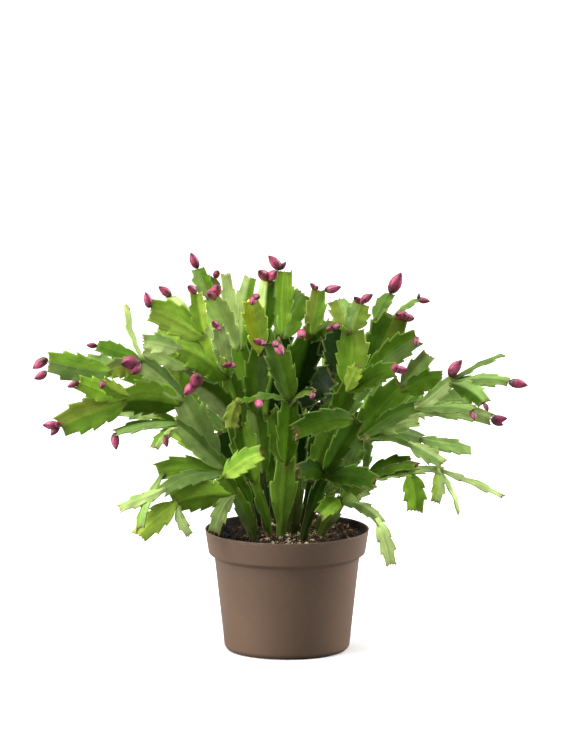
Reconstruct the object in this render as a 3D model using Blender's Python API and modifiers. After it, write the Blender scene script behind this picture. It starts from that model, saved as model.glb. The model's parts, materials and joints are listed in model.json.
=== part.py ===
"""Potted Thanksgiving cactus in bud, in a 12 cm nursery pot.

The pot stands on z = 0 with its axis on the Z axis, and the plant's front looks along -Y. The plant is
a clump of rooted cuttings. Each cutting is a tree of flat, toothed stem segments, and each cluster of
flower buds sits on the areole at a segment's end.
"""

import math

import bmesh
import bpy
from mathutils import Matrix, Vector

MM = 0.001
GAP = 0.3 * MM

# Pot, in millimetres.
RIM_RADIUS = 60.0
POT_HEIGHT = 89.0
BAND_RADIUS = 57.2
BAND_HEIGHT = 17.4
SHOULDER_RADIUS = 53.0
SHOULDER_DROP = 3.0
FOOT_RADIUS = 45.6
FOOT_CHAMFER = 2.5
WALL = 1.2
TURN_STEPS = 40
DRAIN_HOLES = 8
DRAIN_HOLE_RADIUS = 4.0
DRAIN_CIRCLE_RADIUS = 34.0

# Soil, in millimetres.
SOIL_LEVEL = 83.5
SOIL_CROWN = 2.0
SOIL_RINGS = 5

# Stem segments, in millimetres unless it says otherwise.
ROOT_Z = 74.0
MID_THICKNESS = 3.4
TIP_THICKNESS = 2.0
LEAST_NECK = 4.6
ROOT_NECK = 6.4
NECK_OVERLAP = 2.4
SOCKET_CLEARANCE = 0.45
PARENT_PULL = 0.5
DROOP = 0.16
STRAIGHT_ON = 0.6
FORK_SPREAD = 0.22
# Along the segment from 0 to 1, half-width over the widest half-width, and how far the edge runs ahead
# of the midrib as a share of the length: two pairs of teeth, then the horns beside the hollow end.
SEGMENT_OUTLINE = (
    (0.00, 0.20, 0.00),
    (0.36, 0.92, 0.06),
    (0.46, 0.84, 0.01),
    (0.65, 1.00, 0.06),
    (0.75, 0.82, 0.01),
    (0.94, 0.62, 0.08),
    (1.00, 0.32, 0.00),
)
FOLLOWER_NECK_AT = 0.10
# The lowest segment of a cutting at the front is narrower near the soil: its share of the width there,
# and where it widens.
ROOT_SHARE = 0.5
ROOT_WIDENS = (0.3, 0.65)
HORN_SHARE = 0.62
HORN_REACH = 0.01

# Buds.
BUD_SLENDERNESS = 0.52
BUD_STEPS = 6
# Along the bud from 0 to 1, and radius over the widest radius.
BUD_OUTLINE = ((0.00, 0.29), (0.20, 0.84), (0.46, 1.00), (0.80, 0.56), (1.00, 0.06))

# One cutting to an entry: where its root stands, then its segments. A segment says which one it grows from
# (0 is the root), where it ends (x, y, z), how many degrees its flat side is turned up from facing the
# front, and its width.
STEMS = {
    "left_arm": (
        (-20, 4),
        (0, -31, 0, 110, 60, 12),
        (1, -51, -6, 141, 20, 18),
        (2, -77, -12, 188, 15, 25),
        (3, -109, -20, 217, 35, 20),
        (4, -129, -25, 210, 30, 18),
        (5, -173, -36, 219, 25, 24),
        (4, -138, 8, 223, 20, 13),
        (4, -116, 12, 251, 70, 13),
        (3, -119, -32, 189, -10, 29),
        (9, -151, -42, 205, 10, 17),
        (9, -164, -44, 173, 15, 26),
        (9, -133, -50, 207, 25, 13),
        (3, -118, 2, 204, 10, 18),
        (13, -146, 10, 212, 10, 16),
        (2, -96, 4, 172, 15, 17),
        (15, -122, 4, 176, 15, 14),
    ),
    "left_low": (
        (-27, -10),
        (0, -27, -16, 108, 50, 12),
        (1, -47, -22, 138, 20, 17),
        (2, -82, -28, 172, 40, 17),
        (3, -124, -40, 168, 65, 14),
        (3, -96, -46, 158, 20, 10),
        (3, -88, -42, 166, 75, 7),
        (2, -94, -31, 137, 25, 20),
        (7, -107, -70, 103, 60, 13),
        (2, -90, -50, 127, 50, 16),
        (9, -121, -52, 114, 40, 11),
    ),
    "left_front": (
        (-21, -23),
        (0, -38, -30, 122, 10, 13),
        (1, -82, -44, 116, 10, 24),
        (2, -107, -58, 95, 25, 20),
        (2, -71, -54, 95, 20, 9),
        (1, -53, -44, 95, 0, 13),
        (1, -48, -50, 137, 0, 12),
        (6, -19, -68, 158, 15, 18),
    ),
    "front": (
        (-5, -17),
        (0, -1, -27, 143, -10, 22),
        (1, 2, -36, 191, 10, 19),
        (2, -11, -44, 235, -15, 21),
        (2, -24, -74, 199, 80, 10),
        (4, -38, -80, 198, 75, 9),
        (2, 19, -78, 204, 80, 10),
        (5, -41, -86, 180, 10, 12),
    ),
    "front_right": (
        (9, -23),
        (0, 28, -32, 136, 10, 12),
        (1, 51, -42, 178, 15, 17),
        (2, 6, -70, 174, 15, 19),
        (1, 8, -62, 143, 20, 17),
        (1, 64, -52, 133, 20, 18),
        (1, 53, -39, 123, 30, 14),
    ),
    "centre": (
        (3, 0),
        (0, 7, 0, 132, 15, 15),
        (1, 4, 2, 182, -10, 20),
        (2, 17, -2, 232, 0, 28),
        (2, -4, 26, 228, 20, 17),
        (4, -2, 36, 273, 5, 18),
        (3, 11, -32, 241, 40, 13),
        (3, 23, 12, 263, 0, 16),
        (3, 33, -30, 244, 50, 14),
        (4, 12, 38, 256, 0, 22),
        (2, 33, 36, 196, 15, 28),
        (10, 34, 60, 228, 25, 22),
    ),
    "centre_left": (
        (-14, 14),
        (0, -18, 12, 128, 55, 13),
        (1, -24, 18, 174, 15, 19),
        (2, -20, 6, 220, -10, 20),
        (3, -27, -20, 262, 15, 19),
        (3, -14, 20, 269, 20, 18),
        (2, -36, 34, 219, 20, 22),
        (6, -45, 52, 268, 20, 12),
        (6, -57, 22, 257, 10, 20),
        (8, -65, 34, 275, 20, 15),
        (6, -27, 60, 264, 0, 15),
        (8, -52, 42, 266, 0, 14),
    ),
    "left_mid": (
        (-10, -6),
        (0, -24, -10, 126, 45, 12),
        (1, -33, -14, 170, 0, 19),
        (2, -43, -20, 208, 20, 18),
        (3, -61, -24, 239, 15, 20),
        (4, -99, -34, 257, 20, 26),
        (4, -84, 4, 260, 60, 14),
        (4, -66, -22, 267, 20, 14),
        (3, -79, -36, 229, 35, 25),
        (8, -104, -40, 235, 20, 16),
        (2, -66, -44, 204, -10, 21),
        (3, -42, -56, 221, 50, 17),
        (3, -50, -38, 245, 15, 15),
        (2, -72, 12, 209, 15, 22),
        (13, -94, 20, 232, 20, 22),
        (13, -104, 14, 220, 20, 18),
    ),
    "right_low": (
        (20, -13),
        (0, 40, -18, 114, 0, 13),
        (1, 63, -36, 131, 15, 17),
        (1, 68, -54, 104, 50, 11),
        (3, 75, -64, 75, -30, 14),
        (1, 24, -55, 110, 30, 15),
        (1, 60, -14, 133, 30, 19),
        (6, 112, -20, 136, 75, 15),
        (7, 156, -26, 118, 70, 10),
        (7, 108, -30, 115, 10, 11),
        (7, 125, -16, 105, 75, 10),
        (6, 92, -30, 136, 60, 15),
        (11, 93, -40, 110, 0, 18),
        (6, 94, -34, 142, 65, 12),
        (6, 90, -6, 140, 10, 14),
        (6, 58, -15, 158, 60, 14),
    ),
    "right_mid": (
        (20, 5),
        (0, 33, 2, 118, 60, 12),
        (1, 53, -2, 160, 20, 19),
        (2, 97, -10, 182, 45, 15),
        (3, 121, -12, 202, 40, 14),
        (4, 157, 8, 216, 75, 8),
        (4, 161, -18, 201, 60, 15),
        (4, 143, -32, 188, 20, 16),
        (3, 134, -38, 183, 60, 12),
        (3, 148, -14, 173, 35, 15),
        (2, 84, 12, 193, 15, 26),
        (10, 113, 14, 198, 25, 18),
        (10, 103, 30, 212, 30, 17),
        (2, 90, -14, 154, 75, 12),
        (13, 113, -24, 142, 45, 15),
        (2, 98, 22, 151, 35, 14),
        (15, 134, 38, 140, 55, 15),
        (3, 134, 6, 184, 20, 18),
        (2, 96, 8, 168, 10, 16),
    ),
    "right_high": (
        (9, 16),
        (0, 18, 15, 124, 60, 13),
        (1, 33, 10, 162, 20, 19),
        (2, 45, -4, 195, 0, 18),
        (3, 48, -16, 239, 5, 26),
        (3, 52, -26, 214, 20, 13),
        (4, 54, -18, 259, 10, 20),
        (4, 36, 10, 256, 20, 20),
        (3, 78, -28, 212, 25, 17),
        (2, 61, 22, 202, -15, 22),
        (9, 79, 30, 241, 15, 32),
        (10, 95, 42, 251, 70, 9),
        (9, 65, 46, 236, 30, 16),
        (12, 75, 66, 251, 30, 13),
        (9, 94, 2, 230, 10, 21),
    ),
    "back_left": (
        (-16, 28),
        (0, -28, 38, 118, 60, 15),
        (1, -48, 56, 152, 10, 27),
        (2, -80, 76, 176, 35, 20),
        (3, -112, 94, 174, 30, 19),
        (3, -84, 106, 198, 40, 18),
        (2, -52, 86, 184, 30, 20),
        (6, -62, 114, 204, 30, 17),
        (2, -58, 62, 198, 20, 22),
        (8, -76, 84, 225, 50, 17),
        (4, -136, 108, 152, 50, 18),
        (5, -96, 134, 192, 45, 16),
        (8, -16, 88, 214, 10, 24),
        (3, -78, 66, 208, 20, 22),
        (8, -54, 90, 232, 10, 24),
        (1, -36, 50, 166, 10, 20),
        (15, -30, 60, 200, 5, 22),
    ),
    "back": (
        (0, 30),
        (0, 7, 42, 122, 30, 16),
        (1, 10, 60, 164, 50, 20),
        (2, 4, 86, 194, 20, 20),
        (3, 12, 118, 206, 30, 19),
        (2, 28, 92, 190, 40, 19),
        (5, 40, 124, 196, 30, 17),
        (1, 26, 88, 166, 30, 20),
        (7, 38, 122, 160, 30, 18),
        (1, -14, 58, 164, 0, 26),
        (9, -10, 78, 192, 10, 26),
        (2, 18, 72, 208, 75, 17),
        (11, 24, 90, 240, 60, 16),
        (10, -2, 108, 220, 10, 20),
    ),
    "back_right": (
        (20, 22),
        (0, 35, 34, 116, 60, 15),
        (1, 59, 50, 146, 40, 18),
        (2, 88, 70, 166, 35, 20),
        (3, 106, 94, 160, 30, 19),
        (3, 92, 108, 182, 35, 18),
        (2, 62, 88, 174, 25, 20),
        (6, 66, 120, 186, 30, 17),
        (1, 49, 30, 171, 10, 20),
        (2, 66, 60, 196, 60, 18),
        (9, 80, 82, 220, 50, 17),
        (5, 108, 132, 172, 40, 17),
        (4, 134, 112, 156, 50, 17),
        (8, 36, 60, 204, 5, 24),
        (13, 18, 68, 230, 0, 24),
    ),
    "back_low": (
        (-4, 40),
        (0, -12, 56, 112, 40, 15),
        (1, -26, 92, 126, 30, 20),
        (2, -38, 128, 112, 40, 19),
        (2, -4, 124, 134, 30, 18),
        (1, -52, 70, 116, 20, 19),
        (5, -84, 92, 100, 30, 18),
        (3, -48, 150, 84, 50, 17),
        (4, 8, 150, 120, 40, 16),
        (1, 18, 88, 106, 30, 19),
        (9, 40, 116, 98, 30, 18),
        (1, -14, 68, 140, 0, 20),
        (11, -18, 86, 196, 0, 34),
    ),
}

# One bud cluster to an entry: the cutting and segment it sits on, its place across the segment's end
# (-1 is the lower horn and 1 the upper), whether it sits on the front face, and each bud from base to tip.
BUDS = (
    ("left_arm", 6, 0.3, 0, ((-11, 4, -8),)),
    ("left_arm", 6, -1, 0, ((-9, -7, -4),)),
    ("left_arm", 10, 0, 0, ((-8, -4, -3),)),
    ("left_arm", 7, 0, 0, ((-8, -2, 1),)),
    ("left_arm", 4, -0.3, 1, ((-13, -16, 2), (-5, -14, -6))),
    ("left_arm", 11, 0.2, 0, ((-12, -5, 1), (-1, -9, 3), (-6, -5, -7))),
    ("left_arm", 12, 0, 0, ((-2, -9, -4),)),
    ("left_low", 4, 0, 0, ((1, -4, -12),)),
    ("left_low", 6, 0, 0, ((1, -3, -8),)),
    ("left_mid", 10, 0, 0, ((2, -17, 9), (-8, -11, -6))),
    ("left_mid", 5, 0.2, 0, ((-3, -2, 12),)),
    ("left_mid", 6, 0, 0, ((-9, -4, 8),)),
    ("left_mid", 7, 0, 0, ((-6, -8, 6),)),
    ("left_mid", 12, 0, 0, ((-4, -8, 5), (2, -8, -1))),
    ("left_mid", 11, 0, 0, ((-5, -7, 0), (0, -8, 2), (5, -7, 0))),
    ("centre_left", 9, 0, 0, ((-5, -2, 12),)),
    ("centre_left", 8, 0.5, 1, ((-4, -15, 4), (3, -12, 10))),
    ("centre_left", 4, 0.6, 0, ((-2, -10, -4), (4, -9, 2))),
    ("centre_left", 5, 0, 0, ((-7, -11, 8), (6, -11, 8))),
    ("centre_left", 11, 0.2, 1, ((2, -8, 6),)),
    ("centre", 5, 0.5, 0, ((-9, -3, 11), (4, -1, 6))),
    ("centre", 6, 0, 0, ((0, -13, -1),)),
    ("centre", 7, 0.5, 0, ((-4, -4, 5), (1, -6, 3))),
    ("centre", 7, -0.9, 0, ((12, -3, 3),)),
    ("centre", 8, 0, 0, ((5, -8, 2), (-5, -7, -1))),
    ("front", 3, -0.8, 0, ((-9, -5, 3), (-2, -8, 0))),
    ("front", 3, 0.5, 1, ((-1, -10, 0), (5, -10, -7))),
    ("front", 4, -1, 0, ((4, -11, -2),)),
    ("front", 6, 0, 0, ((-2, -7, -3),)),
    ("right_high", 6, 0, 0, ((-6, -5, 5), (1, -8, 3), (8, -6, 7))),
    ("right_high", 13, 0, 0, ((8, -4, 16),)),
    ("right_high", 11, 0, 0, ((9, -2, -1), (1, -1, 5))),
    ("right_high", 10, -0.6, 0, ((8, -9, 1), (1, -12, 5), (-5, -10, 5))),
    ("right_high", 14, 0, 0, ((-1, -9, -5),)),
    ("right_high", 8, 0, 0, ((1, -12, 4), (9, -8, 1))),
    ("right_mid", 4, 0.6, 1, ((9, -5, 13),)),
    ("right_mid", 6, 0, 0, ((14, -2, -2),)),
    ("right_mid", 7, 0, 0, ((3, -5, -5),)),
    ("right_mid", 8, 0, 0, ((2, -7, -5),)),
    ("right_mid", 9, 0, 0, ((9, -3, -4), (12, -2, 1))),
    ("back_left", 10, 0, 0, ((-10, 6, -8), (-6, 9, 0))),
    ("back_left", 11, 0, 0, ((-3, 13, 0),)),
    ("back", 12, 0, 0, ((2, 12, 4), (-3, 6, 8))),
)

# Colour and roughness of each kind of piece.
SURFACES = {
    "pot": ((0.16, 0.10, 0.07), 0.45),
    "soil": ((0.05, 0.03, 0.02), 0.95),
    "stem": ((0.10, 0.22, 0.03), 0.5),
    "buds": ((0.42, 0.04, 0.16), 0.45),
}
SHARP_ANGLE = 40
FRONT = Vector((0, -1, 0))
UP = Vector((0, 0, 1))
RIGHT = Vector((1, 0, 0))


def clear_scene():
    for old in list(bpy.data.objects):
        bpy.data.objects.remove(old)


def surface_of(obj, kind):
    """Gives a piece its own material, of one of the kinds in SURFACES."""
    colour, roughness = SURFACES[kind]
    made = bpy.data.materials.new(obj.name)
    made.use_nodes = True
    shader = made.node_tree.nodes["Principled BSDF"]
    shader.inputs["Base Color"].default_value = (*colour, 1)
    shader.inputs["Roughness"].default_value = roughness
    shader.inputs["Metallic"].default_value = 0
    obj.data.materials.clear()
    obj.data.materials.append(made)


def rounded(obj):
    """Shades a turned or lofted piece smooth but for its real edges."""
    obj.data.shade_smooth()
    obj.data.set_sharp_from_angle(angle=math.radians(SHARP_ANGLE))


def collection(name):
    made = bpy.data.collections.new(name)
    bpy.context.scene.collection.children.link(made)
    return made


def mesh_object(name, bm, into):
    """The bmesh as a new object with its faces pointing out."""
    bmesh.ops.recalc_face_normals(bm, faces=bm.faces)
    mesh = bpy.data.meshes.new(name)
    bm.to_mesh(mesh)
    bm.free()
    made = bpy.data.objects.new(name, mesh)
    into.objects.link(made)
    return made


def helper(obj):
    """Marks a cutter or a guide, which isn't a piece of its own."""
    obj.hide_render = True
    obj.display_type = "WIRE"
    return obj


def boolean(target, other, operation):
    modifier = target.modifiers.new(operation.title(), "BOOLEAN")
    modifier.operation = operation
    modifier.solver = "EXACT"
    modifier.object = other


def apply_modifiers(obj):
    """Replaces the object's mesh with what its modifiers make of it."""
    graph = bpy.context.evaluated_depsgraph_get()
    made = bpy.data.meshes.new_from_object(obj.evaluated_get(graph))
    obj.modifiers.clear()
    obj.data = made
    return obj


def joined(solids):
    """One solid from overlapping ones, kept in the first object."""
    first, *others = solids
    for other in others:
        boolean(first, other, "UNION")
    apply_modifiers(first)
    for other in others:
        bpy.data.objects.remove(other)
    return first


def turned(name, profile, into):
    """An object turned about Z from (radius, height) points in millimetres, down the outer side first."""
    bm = bmesh.new()
    points = [bm.verts.new((r * MM, 0, z * MM)) for r, z in profile]
    for a, b in zip(points, points[1:]):
        bm.edges.new((a, b))
    mesh = bpy.data.meshes.new(name)
    bm.to_mesh(mesh)
    bm.free()
    made = bpy.data.objects.new(name, mesh)
    into.objects.link(made)
    screw = made.modifiers.new("Turn", "SCREW")
    screw.axis = "Z"
    screw.steps = screw.render_steps = TURN_STEPS
    screw.use_merge_vertices = True
    screw.merge_threshold = 0.00005
    return made


def loft(bm, rings):
    """Skins closed rings of equal size with flat triangles, for clean Booleans, and caps both ends."""
    rows = [[bm.verts.new(p) for p in ring] for ring in rings]
    count = len(rows[0])
    for low, high in zip(rows, rows[1:]):
        for i in range(count):
            j = (i + 1) % count
            bm.faces.new((low[i], low[j], high[j], high[i]))
    bm.faces.new(rows[0])
    bm.faces.new(rows[-1][::-1])
    bmesh.ops.triangulate(bm, faces=bm.faces)


def inner_radius(z):
    """The pot's inner radius at a height inside its body, in millimetres."""
    top = POT_HEIGHT - BAND_HEIGHT - SHOULDER_DROP
    share = (z - FOOT_CHAMFER) / (top - FOOT_CHAMFER)
    return FOOT_RADIUS + (SHOULDER_RADIUS - FOOT_RADIUS) * share - WALL


def make_pot(into, helpers):
    band_foot = POT_HEIGHT - BAND_HEIGHT
    outside = (
        (RIM_RADIUS, POT_HEIGHT),
        (BAND_RADIUS, band_foot),
        (SHOULDER_RADIUS, band_foot - SHOULDER_DROP),
        (FOOT_RADIUS, FOOT_CHAMFER),
        (FOOT_RADIUS - FOOT_CHAMFER, 0),
        (0, 0),
    )
    pot = turned("pot", outside, into)
    surface_of(pot, "pot")
    wall = pot.modifiers.new("Wall", "SOLIDIFY")
    wall.thickness = WALL * MM
    wall.offset = -1
    wall.use_even_offset = True
    for i in range(DRAIN_HOLES):
        angle = math.tau * (i + 0.5) / DRAIN_HOLES
        hole = bmesh.new()
        place = Matrix.Translation(
            (math.cos(angle) * DRAIN_CIRCLE_RADIUS * MM, math.sin(angle) * DRAIN_CIRCLE_RADIUS * MM, 0)
        )
        radius = DRAIN_HOLE_RADIUS * MM
        bmesh.ops.create_cone(
            hole, cap_ends=True, segments=8, radius1=radius, radius2=radius, depth=4 * WALL * MM, matrix=place
        )
        boolean(pot, helper(mesh_object(f"drain_cutter_{i}", hole, helpers)), "DIFFERENCE")
    return pot


def make_soil(into, sockets):
    """The root ball fills the pot to just under the rim, uneven on top, with a socket for each cutting."""
    gap = GAP / MM
    band_foot = POT_HEIGHT - BAND_HEIGHT
    edge = BAND_RADIUS - WALL - gap
    profile = [
        (edge, band_foot + 2),
        (SHOULDER_RADIUS - WALL - gap, band_foot - SHOULDER_DROP + 1.2),
        (inner_radius(FOOT_CHAMFER + WALL) - gap, FOOT_CHAMFER + WALL),
        (FOOT_RADIUS - FOOT_CHAMFER - WALL - gap, WALL + gap),
        (0, WALL + gap),
    ]
    rise = (RIM_RADIUS - BAND_RADIUS) / BAND_HEIGHT
    crest = edge + rise * (SOIL_LEVEL - band_foot)
    top = [(crest * i / SOIL_RINGS, SOIL_LEVEL) for i in range(SOIL_RINGS + 1)]
    soil = apply_modifiers(turned("soil", top + profile, into))
    for vertex in soil.data.vertices:
        if vertex.co.z > (SOIL_LEVEL - 1) * MM:
            r = Vector(vertex.co.xy).length / MM
            angle = math.atan2(vertex.co.y, vertex.co.x)
            swell = math.sin(3 * angle + r / 9) * 0.6 + math.cos(5 * angle - r / 6) * 0.4
            crown = SOIL_CROWN * (1 - (r / crest) ** 2)
            vertex.co.z += (crown + swell * min(1, r / 20) * (1 - (r / crest) ** 8)) * MM
    rounded(soil)
    surface_of(soil, "soil")
    for socket in sockets:
        boolean(soil, helper(socket), "DIFFERENCE")
    return soil


class Segment:
    """One flat stem segment: its midrib runs on a curve from where it grows to its end."""

    def __init__(self, row, start, parent):
        _, x, y, z, self.turn, self.width = row
        self.parent = parent
        self.follower = None
        self.end = Vector((x, y, z))
        self.heading = (self.end - start).normalized()
        self.side = self.side_of_heading()
        pull = UP
        if parent:
            pull = parent.end_heading
            spread = parent.side * parent.width * FORK_SPREAD * self.heading.dot(parent.side)
            start = start - pull * NECK_OVERLAP + spread
        self.start = start
        self.length = (self.end - start).length
        self.start_heading = (self.heading + pull * PARENT_PULL).normalized()
        bend = self.start_heading - self.heading
        self.end_heading = (self.heading - UP * DROOP - bend * 0.5).normalized()

    def side_of_heading(self):
        """The direction across the segment, its flat side looking to the front and turned up by its turn."""
        front = (FRONT - self.heading * FRONT.dot(self.heading)).normalized()
        up = self.heading.cross(front)
        if up.dot(UP) < 0 or (abs(up.dot(UP)) < 0.05 and up.dot(RIGHT) < 0):
            up.negate()
        angle = math.radians(self.turn)
        return up * math.cos(angle) - front * math.sin(angle)

    def follow(self):
        """Makes this segment the straight continuation of the one that it grows from."""
        self.parent.follower = self
        self.start = self.parent.end
        self.length = (self.end - self.start).length
        if self.side.dot(self.parent.side) < 0:
            self.side.negate()

    def at(self, t):
        """(point, tangent, side, face) on the midrib at t from 0 to 1."""
        out, back = self.start_heading * self.length, self.end_heading * self.length
        point = (
            self.start * (2 * t**3 - 3 * t**2 + 1)
            + out * (t**3 - 2 * t**2 + t)
            + self.end * (3 * t**2 - 2 * t**3)
            + back * (t**3 - t**2)
        )
        tangent = (
            self.start * (6 * t**2 - 6 * t)
            + out * (3 * t**2 - 4 * t + 1)
            + self.end * (6 * t - 6 * t**2)
            + back * (3 * t**2 - 2 * t)
        ).normalized()
        side = (self.side - tangent * self.side.dot(tangent)).normalized()
        return point, tangent, side, side.cross(tangent)

    def rings(self, grow=0.0):
        """Diamond sections along the midrib, in metres, each wider and thicker by grow all round."""
        neck = (LEAST_NECK if self.parent else ROOT_NECK) / 2
        made = []
        for t, share, ahead in SEGMENT_OUTLINE:
            if t == 0 and self.follows():
                t = FOLLOWER_NECK_AT
            if not self.parent and self.start.y < 0:
                low, high = ROOT_WIDENS
                share *= ROOT_SHARE + (1 - ROOT_SHARE) * min(1, max(0, (t - low) / (high - low)))
            point, tangent, side, face = self.at(t)
            if t == 0:
                point = point - tangent * grow
            half = max(neck, share * self.width / 2) + grow
            thick = (MID_THICKNESS + (TIP_THICKNESS - MID_THICKNESS) * t**2) / 2 + grow
            edge = tangent * ahead * self.length
            ring = (side * half + edge, face * thick, edge - side * half, -face * thick)
            made.append([(point + offset) * MM for offset in ring])
        return made

    def follows(self):
        return self.parent is not None and self.parent.follower is self


def segments_of(cutting):
    """The segments of one cutting, in the order of its table."""
    (x, y), *rows = STEMS[cutting]
    joints = [Vector((x, y, ROOT_Z))]
    made = []
    for row in rows:
        parent = made[row[0] - 1] if row[0] else None
        segment = Segment(row, joints[row[0]], parent)
        joints.append(segment.end)
        made.append(segment)
    for parent in made:
        children = [s for s in made if s.parent is parent and s.heading.dot(parent.heading) > STRAIGHT_ON]
        if children:
            max(children, key=lambda s: s.heading.dot(parent.heading)).follow()
    return made


def runs_of(segments):
    """The segments sorted into runs, in which each one follows the one before."""
    runs = []
    for first in segments:
        if not first.follows():
            run = [first]
            while run[-1].follower:
                run.append(run[-1].follower)
            runs.append(run)
    return runs


def make_stem(cutting, segments, into):
    """One cutting: a loft for each run of segments, joined where they fork."""
    solids = []
    for run in runs_of(segments):
        bm = bmesh.new()
        loft(bm, [ring for segment in run for ring in segment.rings()])
        solids.append(mesh_object(f"{cutting}_run", bm, into))
    stem = joined(solids)
    stem.name = f"stem_{cutting}"
    surface_of(stem, "stem")
    return stem


def make_socket(cutting, root, helpers):
    """A cutter a little larger than a cutting's foot."""
    bm = bmesh.new()
    loft(bm, root.rings(SOCKET_CLEARANCE))
    return helper(mesh_object(f"socket_{cutting}", bm, helpers))


def bud_seat(segment, across, on_face, reaches):
    """Where a cluster's base sits, just clear of the segment's end or, with on_face, of its front."""
    point, tangent, side, face = segment.at(1.0)
    out = tangent
    if on_face:
        out = face if face.dot(FRONT) > 0 else -face
        point = point + out * (TIP_THICKNESS / 2 * (1 - 2 * across**2) + GAP / MM) - tangent
    upper = side if side.dot(UP) > 0 else -side
    point = point + upper * segment.width / 2 * HORN_SHARE * across
    point = point + tangent * segment.length * HORN_REACH * across**2
    clear = 0
    for reach in reaches:
        base = reach.length * BUD_SLENDERNESS / 2 * BUD_OUTLINE[0][1]
        clear = max(clear, base * math.sin(reach.angle(out)))
    return point + out * (clear + GAP / MM)


def bud_solid(name, base, reach, into):
    """One bud from base, as long and as steep as reach says."""
    length = reach.length
    widest = length * BUD_SLENDERNESS / 2
    turn = reach.to_track_quat("Z", "X").to_matrix()
    rings = []
    for t, share in BUD_OUTLINE:
        ring = []
        for i in range(BUD_STEPS):
            angle = math.tau * i / BUD_STEPS
            local = Vector((math.cos(angle) * widest * share, math.sin(angle) * widest * share, t * length))
            ring.append((base + turn @ local) * MM)
        rings.append(ring)
    bm = bmesh.new()
    loft(bm, rings)
    return mesh_object(name, bm, into)


def make_buds(name, segment, across, on_face, reaches, into):
    """A cluster of buds that grow from one place on a segment's end."""
    reaches = [Vector(reach) for reach in reaches]
    base = bud_seat(segment, across, on_face, reaches)
    made = joined([bud_solid(f"{name}_{i}", base, reach, into) for i, reach in enumerate(reaches)])
    made.name = name
    rounded(made)
    surface_of(made, "buds")
    return made


def main():
    clear_scene()
    pieces = collection("potted_thanksgiving_cactus")
    helpers = collection("cutters")
    segments = {cutting: segments_of(cutting) for cutting in STEMS}
    make_pot(pieces, helpers)
    sockets = [make_socket(cutting, parts[0], helpers) for cutting, parts in segments.items()]
    make_soil(pieces, sockets)
    for cutting, parts in segments.items():
        make_stem(cutting, parts, pieces)
    for number, (cutting, index, across, on_face, reaches) in enumerate(BUDS, 1):
        name = f"buds_{number:02d}_{cutting}"
        make_buds(name, segments[cutting][index - 1], across, on_face, reaches, pieces)


main()
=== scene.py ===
"""Potted Thanksgiving cactus in bud: the finished surfaces over the solid model.

Laid out as an add-on, and run as a script. Each operator makes one piece, or one group of like pieces,
from the sizes and colours in the property groups. All tables are in millimetres.
"""

import json
import math
import random

import bmesh
import bpy
from bpy.props import FloatProperty, FloatVectorProperty, IntProperty, PointerProperty
from mathutils import Matrix, Vector, noise

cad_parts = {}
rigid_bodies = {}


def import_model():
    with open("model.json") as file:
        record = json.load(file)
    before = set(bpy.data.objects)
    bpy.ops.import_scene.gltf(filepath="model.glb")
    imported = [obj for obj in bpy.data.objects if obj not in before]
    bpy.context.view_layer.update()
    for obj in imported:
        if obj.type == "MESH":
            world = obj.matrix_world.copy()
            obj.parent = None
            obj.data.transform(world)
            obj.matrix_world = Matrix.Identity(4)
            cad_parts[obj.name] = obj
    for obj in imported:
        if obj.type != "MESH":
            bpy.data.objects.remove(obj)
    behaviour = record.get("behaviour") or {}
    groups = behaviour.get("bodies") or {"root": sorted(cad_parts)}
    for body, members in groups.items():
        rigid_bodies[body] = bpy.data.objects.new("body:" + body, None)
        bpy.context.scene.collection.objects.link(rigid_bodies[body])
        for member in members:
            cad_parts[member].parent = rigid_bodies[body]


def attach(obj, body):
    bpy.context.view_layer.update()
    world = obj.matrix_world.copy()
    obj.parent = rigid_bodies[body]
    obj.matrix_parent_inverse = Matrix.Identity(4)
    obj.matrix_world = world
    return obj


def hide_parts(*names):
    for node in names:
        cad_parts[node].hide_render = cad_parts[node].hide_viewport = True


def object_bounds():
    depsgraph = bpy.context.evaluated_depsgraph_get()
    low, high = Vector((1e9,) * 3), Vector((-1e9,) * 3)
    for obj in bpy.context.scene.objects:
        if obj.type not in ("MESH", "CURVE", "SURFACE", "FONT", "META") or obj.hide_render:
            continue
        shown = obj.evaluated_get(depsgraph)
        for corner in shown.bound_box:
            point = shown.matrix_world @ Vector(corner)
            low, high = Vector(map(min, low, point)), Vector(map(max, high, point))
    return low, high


bl_info = {
    "name": "Potted Thanksgiving Cactus",
    "version": (1, 0, 0),
    "blender": (4, 5, 0),
    "location": "3D View > Sidebar > Cactus",
    "description": "Builds the pot, the peat, the jointed stems and the flower buds of a holiday cactus",
    "category": "Object",
}

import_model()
SOLID_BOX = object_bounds()

MM = 0.001
UP = Vector((0, 0, 1))
RIGHT = Vector((1, 0, 0))
FRONT = Vector((0, -1, 0))

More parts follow.
